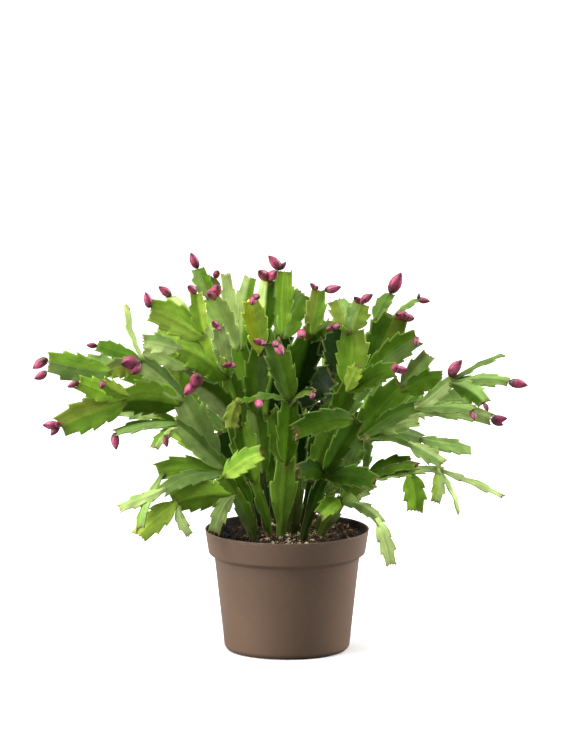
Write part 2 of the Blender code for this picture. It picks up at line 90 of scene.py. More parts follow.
# One cutting to an entry: where its root stands, then its segments. A segment says which one it grows
# A segment says which one it grows from (0 is the root), where it ends (x, y, z), how many degrees its flat
# side is turned up from facing the front, its width, and its tones: the upper half, the lower half and the
# end.
# The tones are the skin's colour with painted light and shade in them: the darkest stand where a segment lies
# in shade, the brightest where light falls on it or shines through it.
STEMS = {
    "left_arm": (
        (-20, 4),
        (0, -31, 0, 110, 60, 12, "S"), (1, -51, -6, 141, 20, 18, "B"), (2, -77, -12, 188, 15, 25, "RW"),
        (3, -109, -20, 217, 35, 20, "GW"), (4, -129, -25, 210, 30, 18, "HO"),
        (5, -173, -36, 219, 25, 24, "BT"), (4, -138, 8, 223, 20, 13, "D"),
        (4, -116, 12, 251, 70, 13, "P"), (3, -119, -32, 189, -10, 29, "VE"),
        (9, -151, -42, 205, 10, 17, "V"), (9, -164, -44, 173, 15, 26, "OB"),
        (9, -133, -50, 207, 25, 13, "UL"), (3, -118, 2, 204, 10, 18, "E"),
        (13, -146, 10, 212, 10, 16, "T"), (2, -96, 4, 172, 15, 17, "DU"),
        (15, -122, 4, 176, 15, 14, "W"),
    ),
    "left_low": (
        (-27, -10),
        (0, -27, -16, 108, 50, 12, "S"), (1, -47, -22, 138, 20, 17, "DN"),
        (2, -82, -28, 172, 40, 17, "SR"), (3, -124, -40, 168, 65, 14, "NT"),
        (3, -96, -46, 158, 20, 10, "BW"), (3, -88, -42, 166, 75, 7, "P"),
        (2, -94, -31, 137, 25, 20, "BL"), (7, -107, -70, 103, 60, 13, "TB"),
        (2, -90, -50, 127, 50, 16, "GT"), (9, -121, -52, 114, 40, 11, "RP"),
    ),
    "left_front": (
        (-21, -23),
        (0, -38, -30, 122, 10, 13, "MT"), (1, -82, -44, 116, 10, 24, "VM"),
        (2, -107, -58, 95, 25, 20, "U"), (2, -71, -54, 95, 20, 9, "W"), (1, -53, -44, 95, 0, 13, "RW"),
        (1, -48, -50, 137, 0, 12, "EB"), (6, -19, -68, 158, 15, 18, "BY"),
    ),
    "front": (
        (-5, -17),
        (0, -1, -27, 143, -10, 22, "B"), (1, 2, -36, 191, 10, 19, "D"),
        (2, -11, -44, 235, -15, 21, "MS"), (2, -24, -74, 199, 80, 10, "S"),
        (4, -38, -80, 198, 75, 9, "D"), (2, 19, -78, 204, 80, 10, "KH"),
        (5, -41, -86, 180, 10, 12, "O"),
    ),
    "front_right": (
        (9, -23),
        (0, 28, -32, 136, 10, 12, "KN"), (1, 51, -42, 178, 15, 17, "N"), (2, 6, -70, 174, 15, 19, "NE"),
        (1, 8, -62, 143, 20, 17, "ND"), (1, 64, -52, 133, 20, 18, "N"), (1, 53, -39, 123, 30, 14, "E"),
    ),
    "centre": (
        (3, 0),
        (0, 7, 0, 132, 15, 15, "H"), (1, 4, 2, 182, -10, 20, "KB"), (2, 17, -2, 232, 0, 28, "NK"),
        (2, -4, 26, 228, 20, 17, "K"), (4, -2, 36, 273, 5, 18, "MV"), (3, 11, -32, 241, 40, 13, "O"),
        (3, 23, 12, 263, 0, 16, "OB"), (3, 33, -30, 244, 50, 14, "HN"), (4, 12, 38, 256, 0, 22, "TB"),
        (2, 33, 36, 196, 15, 28, "K"), (10, 34, 60, 228, 25, 22, "K"),
    ),
    "centre_left": (
        (-14, 14),
        (0, -18, 12, 128, 55, 13, "KH"), (1, -24, 18, 174, 15, 19, "ER"),
        (2, -20, 6, 220, -10, 20, "ET"), (3, -27, -20, 262, 15, 19, "UX"),
        (3, -14, 20, 269, 20, 18, "WN"), (2, -36, 34, 219, 20, 22, "DM"),
        (6, -45, 52, 268, 20, 12, "P"), (6, -57, 22, 257, 10, 20, "PW"),
        (8, -65, 34, 275, 20, 15, "EG"), (6, -27, 60, 264, 0, 15, "PM"), (8, -52, 42, 266, 0, 14, "H"),
    ),
    "left_mid": (
        (-10, -6),
        (0, -24, -10, 126, 45, 12, "M"), (1, -33, -14, 170, 0, 19, "VD"),
        (2, -43, -20, 208, 20, 18, "EV"), (3, -61, -24, 239, 15, 20, "WU"),
        (4, -99, -34, 257, 20, 26, "VY"), (4, -84, 4, 260, 60, 14, "P"),
        (4, -66, -22, 267, 20, 14, "UL"), (3, -79, -36, 229, 35, 25, "VL"),
        (8, -104, -40, 235, 20, 16, "TW"), (2, -66, -44, 204, -10, 21, "DP"),
        (3, -42, -56, 221, 50, 17, "ON"), (3, -50, -38, 245, 15, 15, "W"),
        (2, -72, 12, 209, 15, 22, "NH"), (13, -94, 20, 232, 20, 22, "Y"),
        (13, -104, 14, 220, 20, 18, "MP"),
    ),
    "right_low": (
        (20, -13),
        (0, 40, -18, 114, 0, 13, "OR"), (1, 63, -36, 131, 15, 17, "MW"),
        (1, 68, -54, 104, 50, 11, "PG"), (3, 75, -64, 75, -30, 14, "W"),
        (1, 24, -55, 110, 30, 15, "EV"), (1, 60, -14, 133, 30, 19, "N"),
        (6, 112, -20, 136, 75, 15, "TP"), (7, 156, -26, 118, 70, 10, "TP"),
        (7, 108, -30, 115, 10, 11, "UW"), (7, 125, -16, 105, 75, 10, "PW"),
        (6, 92, -30, 136, 60, 15, "LR"), (11, 93, -40, 110, 0, 18, "ML"),
        (6, 94, -34, 142, 65, 12, "HD"), (6, 90, -6, 140, 10, 14, "DG"), (6, 58, -15, 158, 60, 14, "S"),
    ),
    "right_mid": (
        (20, 5),
        (0, 33, 2, 118, 60, 12, "N"), (1, 53, -2, 160, 20, 19, "NG"), (2, 97, -10, 182, 45, 15, "NS"),
        (3, 121, -12, 202, 40, 14, "GP"), (4, 157, 8, 216, 75, 8, "HG"),
        (4, 161, -18, 201, 60, 15, "TG"), (4, 143, -32, 188, 20, 16, "TN"),
        (3, 134, -38, 183, 60, 12, "TG"), (3, 148, -14, 173, 35, 15, "PW"),
        (2, 84, 12, 193, 15, 26, "DM"), (10, 113, 14, 198, 25, 18, "DM"),
        (10, 103, 30, 212, 30, 17, "HG"), (2, 90, -14, 154, 75, 12, "GS"),
        (13, 113, -24, 142, 45, 15, "PT"), (2, 98, 22, 151, 35, 14, "G"),
        (15, 134, 38, 140, 55, 15, "GT"), (3, 134, 6, 184, 20, 18, "GR"), (2, 96, 8, 168, 10, 16, "PW"),
    ),
    "right_high": (
        (9, 16),
        (0, 18, 15, 124, 60, 13, "K"), (1, 33, 10, 162, 20, 19, "ME"), (2, 45, -4, 195, 0, 18, "DE"),
        (3, 48, -16, 239, 5, 26, "LY"), (3, 52, -26, 214, 20, 13, "U"), (4, 54, -18, 259, 10, 20, "TY"),
        (4, 36, 10, 256, 20, 20, "TO"), (3, 78, -28, 212, 25, 17, "DE"),
        (2, 61, 22, 202, -15, 22, "BT"), (9, 79, 30, 241, 15, 32, "NO"), (10, 95, 42, 251, 70, 9, "TG"),
        (9, 65, 46, 236, 30, 16, "M"), (12, 75, 66, 251, 30, 13, "S"), (9, 94, 2, 230, 10, 21, "ER"),
    ),
    "back_left": (
        (-16, 28),
        (0, -28, 38, 118, 60, 15, "K"), (1, -48, 56, 152, 10, 27, "K"), (2, -80, 76, 176, 35, 20, "E"),
        (3, -112, 94, 174, 30, 19, "L"), (3, -84, 106, 198, 40, 18, "B"),
        (2, -52, 86, 184, 30, 20, "LB"), (6, -62, 114, 204, 30, 17, "M"),
        (2, -58, 62, 198, 20, 22, "G"), (8, -76, 84, 225, 50, 17, "M"),
        (4, -136, 108, 152, 50, 18, "LB"), (5, -96, 134, 192, 45, 16, "L"),
        (8, -16, 88, 214, 10, 24, "N"), (3, -78, 66, 208, 20, 22, "OE"), (8, -54, 90, 232, 10, 24, "B"),
        (1, -36, 50, 166, 10, 20, "D"), (15, -30, 60, 200, 5, 22, "D"),
    ),
    "back": (
        (0, 30),
        (0, 7, 42, 122, 30, 16, "K"), (1, 10, 60, 164, 50, 20, "DE"), (2, 4, 86, 194, 20, 20, "M"),
        (3, 12, 118, 206, 30, 19, "B"), (2, 28, 92, 190, 40, 19, "K"), (5, 40, 124, 196, 30, 17, "B"),
        (1, 26, 88, 166, 30, 20, "KN"), (7, 38, 122, 160, 30, 18, "KN"), (1, -14, 58, 164, 0, 26, "DE"),
        (9, -10, 78, 192, 10, 26, "BK"), (2, 18, 72, 208, 75, 17, "MG"), (11, 24, 90, 240, 60, 16, "L"),
        (10, -2, 108, 220, 10, 20, "NK"),
    ),
    "back_right": (
        (20, 22),
        (0, 35, 34, 116, 60, 15, "K"), (1, 59, 50, 146, 40, 18, "D"), (2, 88, 70, 166, 35, 20, "M"),
        (3, 106, 94, 160, 30, 19, "DT"), (3, 92, 108, 182, 35, 18, "DE"), (2, 62, 88, 174, 25, 20, "L"),
        (6, 66, 120, 186, 30, 17, "M"), (1, 49, 30, 171, 10, 20, "E"), (2, 66, 60, 196, 60, 18, "G"),
        (9, 80, 82, 220, 50, 17, "MG"), (5, 108, 132, 172, 40, 17, "L"),
        (4, 134, 112, 156, 50, 17, "BL"), (8, 36, 60, 204, 5, 24, "D"), (13, 18, 68, 230, 0, 24, "K"),
    ),
    "back_low": (
        (-4, 40),
        (0, -12, 56, 112, 40, 15, "K"), (1, -26, 92, 126, 30, 20, "K"), (2, -38, 128, 112, 40, 19, "M"),
        (2, -4, 124, 134, 30, 18, "KB"), (1, -52, 70, 116, 20, 19, "D"), (5, -84, 92, 100, 30, 18, "B"),
        (3, -48, 150, 84, 50, 17, "LB"), (4, 8, 150, 120, 40, 16, "LB"), (1, 18, 88, 106, 30, 19, "N"),
        (9, 40, 116, 98, 30, 18, "N"), (1, -14, 68, 140, 0, 20, "E"), (11, -18, 86, 196, 0, 34, "K"),
    ),
}

BUDS = (
    ("left_arm", 6, 0.3, 0, ((-11, 4, -8),)), ("left_arm", 6, -1, 0, ((-9, -7, -4),)),
    ("left_arm", 10, 0, 0, ((-8, -4, -3),)), ("left_arm", 7, 0, 0, ((-8, -2, 1),)),
    ("left_arm", 4, -0.3, 1, ((-13, -16, 2), (-5, -14, -6))),
    ("left_arm", 11, 0.2, 0, ((-12, -5, 1), (-1, -9, 3), (-6, -5, -7))),
    ("left_arm", 12, 0, 0, ((-2, -9, -4),)), ("left_low", 4, 0, 0, ((1, -4, -12),)),
    ("left_low", 6, 0, 0, ((1, -3, -8),)), ("left_mid", 10, 0, 0, ((2, -17, 9), (-8, -11, -6))),
    ("left_mid", 5, 0.2, 0, ((-3, -2, 12),)), ("left_mid", 6, 0, 0, ((-9, -4, 8),)),
    ("left_mid", 7, 0, 0, ((-6, -8, 6),)), ("left_mid", 12, 0, 0, ((-4, -8, 5), (2, -8, -1))),
    ("left_mid", 11, 0, 0, ((-5, -7, 0), (0, -8, 2), (5, -7, 0))),
    ("centre_left", 9, 0, 0, ((-5, -2, 12),)), ("centre_left", 8, 0.5, 1, ((-4, -15, 4), (3, -12, 10))),
    ("centre_left", 4, 0.6, 0, ((-2, -10, -4), (4, -9, 2))),
    ("centre_left", 5, 0, 0, ((-7, -11, 8), (6, -11, 8))), ("centre_left", 11, 0.2, 1, ((2, -8, 6),)),
    ("centre", 5, 0.5, 0, ((-9, -3, 11), (4, -1, 6))), ("centre", 6, 0, 0, ((0, -13, -1),)),
    ("centre", 7, 0.5, 0, ((-4, -4, 5), (1, -6, 3))), ("centre", 7, -0.9, 0, ((12, -3, 3),)),
    ("centre", 8, 0, 0, ((5, -8, 2), (-5, -7, -1))), ("front", 3, -0.8, 0, ((-9, -5, 3), (-2, -8, 0))),
    ("front", 3, 0.5, 1, ((-1, -10, 0), (5, -10, -7))), ("front", 4, -1, 0, ((4, -11, -2),)),
    ("front", 6, 0, 0, ((-2, -7, -3),)), ("right_high", 6, 0, 0, ((-6, -5, 5), (1, -8, 3), (8, -6, 7))),
    ("right_high", 13, 0, 0, ((8, -4, 16),)), ("right_high", 11, 0, 0, ((9, -2, -1), (1, -1, 5))),
    ("right_high", 10, -0.6, 0, ((8, -9, 1), (1, -12, 5), (-5, -10, 5))),
    ("right_high", 14, 0, 0, ((-1, -9, -5),)), ("right_high", 8, 0, 0, ((1, -12, 4), (9, -8, 1))),
    ("right_mid", 4, 0.6, 1, ((9, -5, 13),)), ("right_mid", 6, 0, 0, ((14, -2, -2),)),
    ("right_mid", 7, 0, 0, ((3, -5, -5),)), ("right_mid", 8, 0, 0, ((2, -7, -5),)),
    ("right_mid", 9, 0, 0, ((9, -3, -4), (12, -2, 1))),
    ("back_left", 10, 0, 0, ((-10, 6, -8), (-6, 9, 0))), ("back_left", 11, 0, 0, ((-3, 13, 0),)),
    ("back", 12, 0, 0, ((2, 12, 4), (-3, 6, 8))),
)

# Tones of the skin, as linear colours, with painted light and shade in them.
TONES = {
    # from near black to bright lime
    "K": (0.006, 0.020, 0.001),
    "N": (0.032, 0.080, 0.004),
    "D": (0.056, 0.128, 0.006),
    "E": (0.084, 0.175, 0.011),
    "M": (0.120, 0.238, 0.018),
    "B": (0.160, 0.305, 0.028),
    "L": (0.205, 0.380, 0.032),
    "V": (0.280, 0.490, 0.044),
    "Y": (0.385, 0.600, 0.075),
    "U": (0.500, 0.730, 0.090),
    "X": (0.720, 0.880, 0.060),
    # from dull green to pale
    "S": (0.080, 0.152, 0.022),
    "G": (0.125, 0.208, 0.046),
    "T": (0.195, 0.318, 0.076),
    "R": (0.290, 0.435, 0.115),
    "P": (0.380, 0.500, 0.165),
    "W": (0.560, 0.760, 0.240),
    # olive
    "H": (0.060, 0.086, 0.016),
    "O": (0.135, 0.182, 0.022),
}

# Cuttings, in millimetres or as shares.
ROOT_Z = 74.0  # where a cutting starts, inside the peat
ROOT_NECK = 6.4  # its least width, all the way up its first segment
LEAST_NECK = 4.4  # the least width of a segment that grows from another
NECK_OVERLAP = 2.4  # how far a branch starts back inside the segment it grows from
NECK_SINK = 2.0  # how far the first ring of a segment is pushed further in
PARENT_PULL = 0.5  # how much a segment sets out in the direction of the one before it
DROOP = 0.16  # how much its end sinks
STRAIGHT_ON = 0.6  # the least agreement of their directions for one segment to carry on another's rib
FORK_SPREAD = 0.22  # the most that a branch starts to the side, over the width of the one before it
# The lowest segment of a cutting at the front is narrower near the soil: its share of the width there,
# and where it widens.
ROOT_SHARE = 0.42
ROOT_WIDENS = (0.25, 0.65)
# A segment's section, in millimetres or as shares.
RIB_WIDTH = 1.3  # about half the width of the rib
BLADE_POWER = 2.2  # how late the blade thins towards its edge
END_THICKNESS = 0.55  # the last ring's thickness over the rib's
CUP = 1.6  # four times the most that a segment bows along its length
# Its wavy edges: radians from its start to its end, how far out of step the two edges are, and where
# the waves begin.
EDGE_WAVES, FAR_EDGE_TURN, WAVES_FROM = 15, 1.7, 0.2
# Buds, in millimetres or as shares.
HORN_SHARE = 0.62  # where the horns of a segment's end are, over its half-width
HORN_REACH = 0.01  # how much further out a bud beside a horn starts, over the segment's length
BUD_SLENDERNESS = 0.52  # a bud's width over its length
BUD_FOOT_SHARE = 0.29  # its foot's width over its widest
BUD_BEND = 0.035  # the most that it bends either way, over its length
YOUNG_LENGTH, RIPE_LENGTH = 8.0, 13.0  # browner up to the first, and fully pink from the second
SEAT_GAP = 0.3  # the air between a piece and what carries it
# The edge of a segment at its teeth and notches: how far along, the half-width over the widest
# half-width, how far the edge runs ahead of the rib as a share of the length, and the rows up to there.
# A short segment has two teeth to a side under its horns, and a long one has three.
TWO_TEETH = (
    (0.00, 0.20, 0.00, 0),
    (0.34, 0.92, 0.10, 7),
    (0.43, 0.74, 0.00, 2),
    (0.64, 1.00, 0.10, 6),
    (0.73, 0.72, 0.00, 2),
    (0.94, 0.64, 0.11, 6),
    (1.00, 0.32, 0.00, 3),
)
THREE_TEETH = (
    (0.00, 0.20, 0.00, 0),
    (0.26, 0.84, 0.08, 6),
    (0.33, 0.70, 0.00, 2),
    (0.49, 1.00, 0.08, 5),
    (0.56, 0.80, 0.00, 2),
    (0.71, 0.96, 0.08, 5),
    (0.78, 0.73, 0.00, 2),
    (0.94, 0.62, 0.10, 5),
    (1.00, 0.32, 0.00, 3),
)
LONG_SEGMENT = 38.0
TOOTH_SHARPNESS = 2.2
# The points of a ring across a segment, from edge to edge.
COLUMNS = (-1.0, -0.88, -0.66, -0.42, -0.2, 0.0, 0.2, 0.42, 0.66, 0.88, 1.0)

# The bud's radius over its widest, from its foot to its tip, and the tiers of petals round it.
BUD_OUTLINE = (
    (0.00, 0.29), (0.06, 0.54), (0.20, 0.84), (0.42, 1.00),
    (0.62, 0.90), (0.80, 0.60), (0.93, 0.28), (1.00, 0.05),
)
PETAL_TIERS = (
    # from, to, petals, turn, thickness
    (0.02, 0.26, 4, 0.0, 1.00),
    (0.08, 0.50, 4, 0.5, 0.80),
    (0.20, 0.74, 5, 0.2, 0.60),
    (0.36, 0.97, 5, 0.7, 0.40),
)

# The bristles of an areole, and the room in millimetres that one of size 1 needs on every side. The longest
# bristles reach further, but they lean.
BRISTLES = 5
BRISTLE_REACH = 2.2

# The peat's top, in millimetres: where its lumps fade out at the wall, and how fine its mesh is.
PEAT_EDGE = 57.0
PEAT_RINGS, PEAT_SPOKES = 64, 128
# The part of the peat that loose crumbs lie on.
CRUMB_REACH = 55.5
CRUMB_RINGS, CRUMB_SPOKES = 40, 72

# The drain holes in the pot's floor, in metres.
DRAIN_HOLES = 8
DRAIN_RING = 0.034
DRAIN_RADIUS = 0.004
DRAIN_DEPTH = 0.008

# The stage: the floor and the camera's sensor in millimetres, the lights' places in metres.
FLOOR_HALF = 4e4
FLOOR_DROP = 0.05
SENSOR = 36.0
AIM_HEIGHT = 0.14
WORLD_STRENGTH = 0.08
BOUNCE_COLOUR = (0.20, 0.20, 0.20)
OVERHEAD_STRENGTH = 4.8
OVERHEAD_SPREAD = 70.0
OVERHEAD_FROM = (-0.25, 0.05, 1.0)
LIGHTS = (
    # name, place, size, power
    ("left_softbox", (-1.5, -0.45, 0.75), 1.1, 40.0),
    ("right_softbox", (1.4, 0.50, 0.75), 1.1, 42.0),
)


def length_prop(name, description, default):
    return FloatProperty(name=name, description=description, default=default, unit="LENGTH")


def colour_prop(name, description, default):
    return FloatVectorProperty(name=name, description=description, default=default, subtype="COLOR")


class PotSettings(bpy.types.PropertyGroup):
    rim_radius: length_prop("Rim radius", "Outer radius at the lip", 0.060)
    height: length_prop("Height", "From the table to the lip", 0.089)
    band_radius: length_prop("Band radius", "Outer radius at the band's lower edge", 0.0572)
    band_height: length_prop("Band height", "Height of the band under the lip", 0.0174)
    shoulder_radius: length_prop("Shoulder radius", "Outer radius under the band", 0.053)
    shoulder_drop: length_prop("Shoulder drop", "Height of the step under the band", 0.003)
    foot_radius: length_prop("Foot radius", "Outer radius just over the table", 0.0456)
    wall: length_prop("Wall", "Thickness of the plastic", 0.0012)
    steps: IntProperty(name="Steps", description="Facets round the pot", default=144, min=24)
    colour: colour_prop("Colour", "Taupe plastic", (0.180, 0.110, 0.070))


class SoilSettings(bpy.types.PropertyGroup):
    level: length_prop("Level", "Height of the peat at the wall", 0.0835)
    crown: length_prop("Crown", "How much it heaves up in the middle", 0.002)
    crumb: length_prop("Crumb", "Typical crumb size", 0.0011)
    crumbs: FloatProperty(name="Crumbs", description="Crumbs to a square metre", default=330000.0)
    dark: colour_prop("Peat", "Moist peat", (0.030, 0.017, 0.009))
    pale: colour_prop("Chips", "Dry bark and fibre", (0.52, 0.43, 0.27))


class StemSettings(bpy.types.PropertyGroup):
    rib: length_prop("Rib", "Thickness at the rib near a segment's foot", 0.0034)
    rib_end: length_prop("Rib at the end", "Thickness at the rib at a segment's end", 0.0020)
    blade: length_prop("Blade", "Thickness beside the rib", 0.0017)
    rim: length_prop("Edge", "Thickness just inside the edge", 0.0008)
    fold: FloatProperty(
        name="Fold", description="How far the two halves fold back", default=0.09, min=0, max=0.5
    )
    ripple: length_prop("Ripple", "Waviness of the edges", 0.0007)
    # Edge: the pale lime of the painted glow of light through the thin edges.
    edge_glow_colour: colour_prop("Edge", "Thin edge with light behind it", (0.46, 0.62, 0.16))
    joint_colour: colour_prop("Joint", "Corky joint", (0.22, 0.17, 0.06))


class AreoleSettings(bpy.types.PropertyGroup):
    pad: length_prop("Pad", "Radius of the felt pad", 0.0006)
    bristle: length_prop("Bristle", "Length of a bristle", 0.0018)
    felt: colour_prop("Felt", "Brown felt", (0.20, 0.09, 0.05))


class BudSettings(bpy.types.PropertyGroup):
    sides: IntProperty(name="Sides", description="Facets round a bud", default=24, min=8)
    rows: IntProperty(name="Rows", description="Rings along a bud", default=26, min=8)
    petal: FloatProperty(
        name="Petal", description="How far a petal stands proud, over the bud's radius", default=0.12
    )
    foot: colour_prop("Foot", "Scales at the foot", (0.042, 0.013, 0.009))
    deep: colour_prop("Deep", "Deep magenta", (0.230, 0.012, 0.048))
    pink: colour_prop("Pink", "Petal pink", (0.440, 0.055, 0.135))
    # The lilac is the painted sheen's colour, and it also tints the petal margins.
    lilac: colour_prop("Lilac", "Pale lilac bloom", (0.640, 0.250, 0.360))
    tip: colour_prop("Tip", "Dark tip", (0.110, 0.028, 0.042))


class StageSettings(bpy.types.PropertyGroup):
    elevation: FloatProperty(
        name="Elevation", description="Camera above the horizon", default=math.radians(10.4), unit="ROTATION"
    )
    distance: length_prop("Distance", "From camera to pot", 12.0)
    view_height: length_prop("View height", "Height of the view at the pot", 0.5496)
    aim_x: length_prop("Aim across", "Middle of the view", -0.0033)
    aim_up: length_prop("Aim up", "Middle of the view", 0.1988)
    floor_colour: colour_prop("Floor", "Pale floor", (0.92, 0.92, 0.91))


# Meshes


def linked(name, data):
    """A new object, linked into the scene."""
    made = bpy.data.objects.new(name, data)
    bpy.context.scene.collection.objects.link(made)
    return made


def mesh_of(bm, name):
    """A new mesh from a bmesh, which is freed."""
    mesh = bpy.data.meshes.new(name)
    bm.to_mesh(mesh)
    bm.free()
    return mesh


def mesh_piece(name, points, faces, attributes=(), smooth_angle=None):
    """A new object from points in millimetres; attributes are (name, kind, values to a point)."""
    mesh = bpy.data.meshes.new(name)
    mesh.from_pydata([tuple(c * MM for c in p) for p in points], [], faces)
    for key, kind, values in attributes:
        layer = mesh.attributes.new(key, kind, "POINT")
        field = "value" if kind == "FLOAT" else "color" if kind == "FLOAT_COLOR" else "vector"
        flat = values if kind == "FLOAT" else [c for value in values for c in value]
        layer.data.foreach_set(field, flat)
    bm = bmesh.new()
    bm.from_mesh(mesh)
    bmesh.ops.recalc_face_normals(bm, faces=bm.faces)
    bm.to_mesh(mesh)
    bm.free()
    mesh.shade_smooth()
    if smooth_angle is not None:
        mesh.set_sharp_from_angle(angle=math.radians(smooth_angle))
    mesh.update()
    return linked(name, mesh)


def ring_faces(first, rows, count, cap_low=True, cap_high=True):
    """Faces between rings of count points each, numbered from first, with a closing face at either end."""
    faces = []
    for r in range(rows - 1):
        low = first + r * count
        for i in range(count):
            j = (i + 1) % count
            faces.append((low + i, low + j, low + count + j, low + count + i))
    if cap_low:
        faces.append(tuple(first + i for i in reversed(range(count))))
    if cap_high:
        last = first + (rows - 1) * count
        faces.append(tuple(last + i for i in range(count)))
    return faces


def finished(piece, material, slot, *nodes):
    """Gives a piece its material and its body, and hides the solids that it stands for; the slot is not used.
    """
    piece.data.materials.clear()
    piece.data.materials.append(material)
    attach(piece, "root")
    if nodes:
        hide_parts(*nodes)
    return piece


def smoothstep(low, high, value):
    """0 below low and 1 above high, with a soft rise between them."""
    t = min(1.0, max(0.0, (value - low) / (high - low)))
    return t * t * (3 - 2 * t)


def mixed(a, b, t):
    """A colour between two."""
    return tuple(x + (y - x) * t for x, y in zip(a, b))


# Shader building


class Nodes:
    """Short names for what the materials and groups here are made of."""

    def __init__(self, tree):
        self.tree = tree

    def add(self, kind, **values):
        node = self.tree.nodes.new(kind)
        for key, value in values.items():
            setattr(node, key, value)
        return node

    def made(self, kind, inputs, **values):
        """A node with its inputs set or joined, and its outputs handed back."""
        node = self.add(kind, **values)
        for key, value in inputs.items():
            self.put(node.inputs[key], value)
        return node.outputs

    def join(self, source, target):
        self.tree.links.new(source, target)

    def put(self, socket, value):
        if isinstance(value, bpy.types.NodeSocket):
            self.join(value, socket)
        else:
            if getattr(socket, "type", "") == "RGBA" and len(value) == 3:
                value = (*value, 1)
            socket.default_value = value

    def object_coords(self, scale=(1, 1, 1)):
        coords = self.add("ShaderNodeTexCoord").outputs["Object"]
        return self.made("ShaderNodeMapping", {"Scale": scale, "Vector": coords})["Vector"]

    def attribute(self, name, output="Vector"):
        return self.add("ShaderNodeAttribute", attribute_name=name).outputs[output]

    def split(self, vector):
        return self.made("ShaderNodeSeparateXYZ", {0: vector})

    def combine(self, x, y, z):
        return self.made("ShaderNodeCombineXYZ", {0: x, 1: y, 2: z})[0]

    def noise(self, vector, scale, detail=3.0, rough=0.5):
        inputs = {"Vector": vector, "Scale": scale, "Detail": detail, "Roughness": rough, "Distortion": 0.0}
        return self.made("ShaderNodeTexNoise", inputs)[0]

    def math(self, operation, a, b=0.0):
        return self.made("ShaderNodeMath", {0: a, 1: b}, operation=operation)[0]

    def times(self, a, b):
        return self.math("MULTIPLY", a, b)

    def plus(self, a, b):
        return self.math("ADD", a, b)

    def minus(self, a, b):
        return self.math("SUBTRACT", a, b)

    def between(self, value, low, high, out_low=0.0, out_high=1.0, kind="SMOOTHSTEP"):
        inputs = {"Value": value, "From Min": low, "From Max": high, "To Min": out_low, "To Max": out_high}
        return self.made("ShaderNodeMapRange", inputs, interpolation_type=kind)[0]

    def mix(self, factor, a, b, blend="MIX"):
        return self.made("ShaderNodeMix", {0: factor, 6: a, 7: b}, data_type="RGBA", blend_type=blend)[2]

    def shaded(self, colour, shade):
        """The colour, darker or lighter by a value."""
        return self.mix(1.0, colour, self.combine(shade, shade, shade), "MULTIPLY")

    def ramp(self, value, stops):
        node = self.add("ShaderNodeValToRGB")
        self.join(value, node.inputs[0])
        elements = node.color_ramp.elements
        while len(elements) > len(stops):
            elements.remove(elements[-1])
        while len(elements) < len(stops):
            elements.new(1.0)
        for element, (place, colour) in zip(elements, stops):
            element.position = place
            element.color = (*colour, 1)
        return node.outputs[0]

    def bump(self, height, strength, distance):
        inputs = {"Strength": strength, "Distance": distance, "Height": height}
        return self.made("ShaderNodeBump", inputs)["Normal"]

    def group(self, tree, **values):
        inputs = {key.replace("_", " "): value for key, value in values.items()}
        return self.made("ShaderNodeGroup", inputs, node_tree=tree)


def new_material(name, roughness=0.5, **constants):
    """A material with a plain Principled shader, and the tools to wire it."""
    material = bpy.data.materials.new(name)
    material.use_nodes = True
    shader = material.node_tree.nodes["Principled BSDF"]
    shader.inputs["Roughness"].default_value = roughness
    for key, value in constants.items():
        shader.inputs[key.replace("_", " ")].default_value = value
    return material, Nodes(material.node_tree), shader.inputs


def shader_group(name, inputs, outputs):
    """A new shader node group with named sockets: (tree, tools, its inputs, its outputs)."""
    tree = bpy.data.node_groups.new(name, "ShaderNodeTree")
    for key, kind, default in inputs:
        socket = tree.interface.new_socket(key, in_out="INPUT", socket_type=kind)
        if default is not None:
            socket.default_value = default
    for key, kind in outputs:
        tree.interface.new_socket(key, in_out="OUTPUT", socket_type=kind)
    tools = Nodes(tree)
    return tree, tools, tools.add("NodeGroupInput").outputs, tools.add("NodeGroupOutput").inputs


def mottle_group():
    """Uneven colour: broad patches and fine grain over a base colour."""
    name = "Mottle"
    if name in bpy.data.node_groups:
        return bpy.data.node_groups[name]
    tree, tools, given, out = shader_group(
        name,
        (
            ("Colour", "NodeSocketColor", (0.5, 0.5, 0.5, 1)),
            ("Coordinate", "NodeSocketVector", None),
            ("Patch Scale", "NodeSocketFloat", 60.0),
            ("Patch Amount", "NodeSocketFloat", 0.25),
            ("Grain Scale", "NodeSocketFloat", 1500.0),
            ("Grain Amount", "NodeSocketFloat", 0.1),
        ),
        (("Colour", "NodeSocketColor"), ("Patches", "NodeSocketFloat"), ("Grain", "NodeSocketFloat")),
    )
    patches = tools.between(tools.noise(given["Coordinate"], given["Patch Scale"], 2.5), 0.3, 0.7)
    grain = tools.noise(given["Coordinate"], given["Grain Scale"], 2.0, 0.6)
    low = tools.minus(1.0, given["Patch Amount"])
    high = tools.plus(1.0, given["Patch Amount"])
    shade = tools.between(patches, 0.0, 1.0, low, high, "LINEAR")
    fine = tools.plus(tools.times(tools.minus(grain, 0.5), given["Grain Amount"]), 1.0)
    both = tools.times(shade, fine)
    tools.join(tools.shaded(given["Colour"], both), out["Colour"])
    tools.join(patches, out["Patches"])
    tools.join(grain, out["Grain"])
    return tree


def mottled(tools, colour, coords, patch_scale, patch_amount, grain_scale, grain_amount):
    """Puts the Mottle group in a material: its outputs."""
    return tools.group(
        mottle_group(),
        Colour=colour,
        Coordinate=coords,
        Patch_Scale=patch_scale,
        Patch_Amount=patch_amount,
        Grain_Scale=grain_scale,
        Grain_Amount=grain_amount,
    )


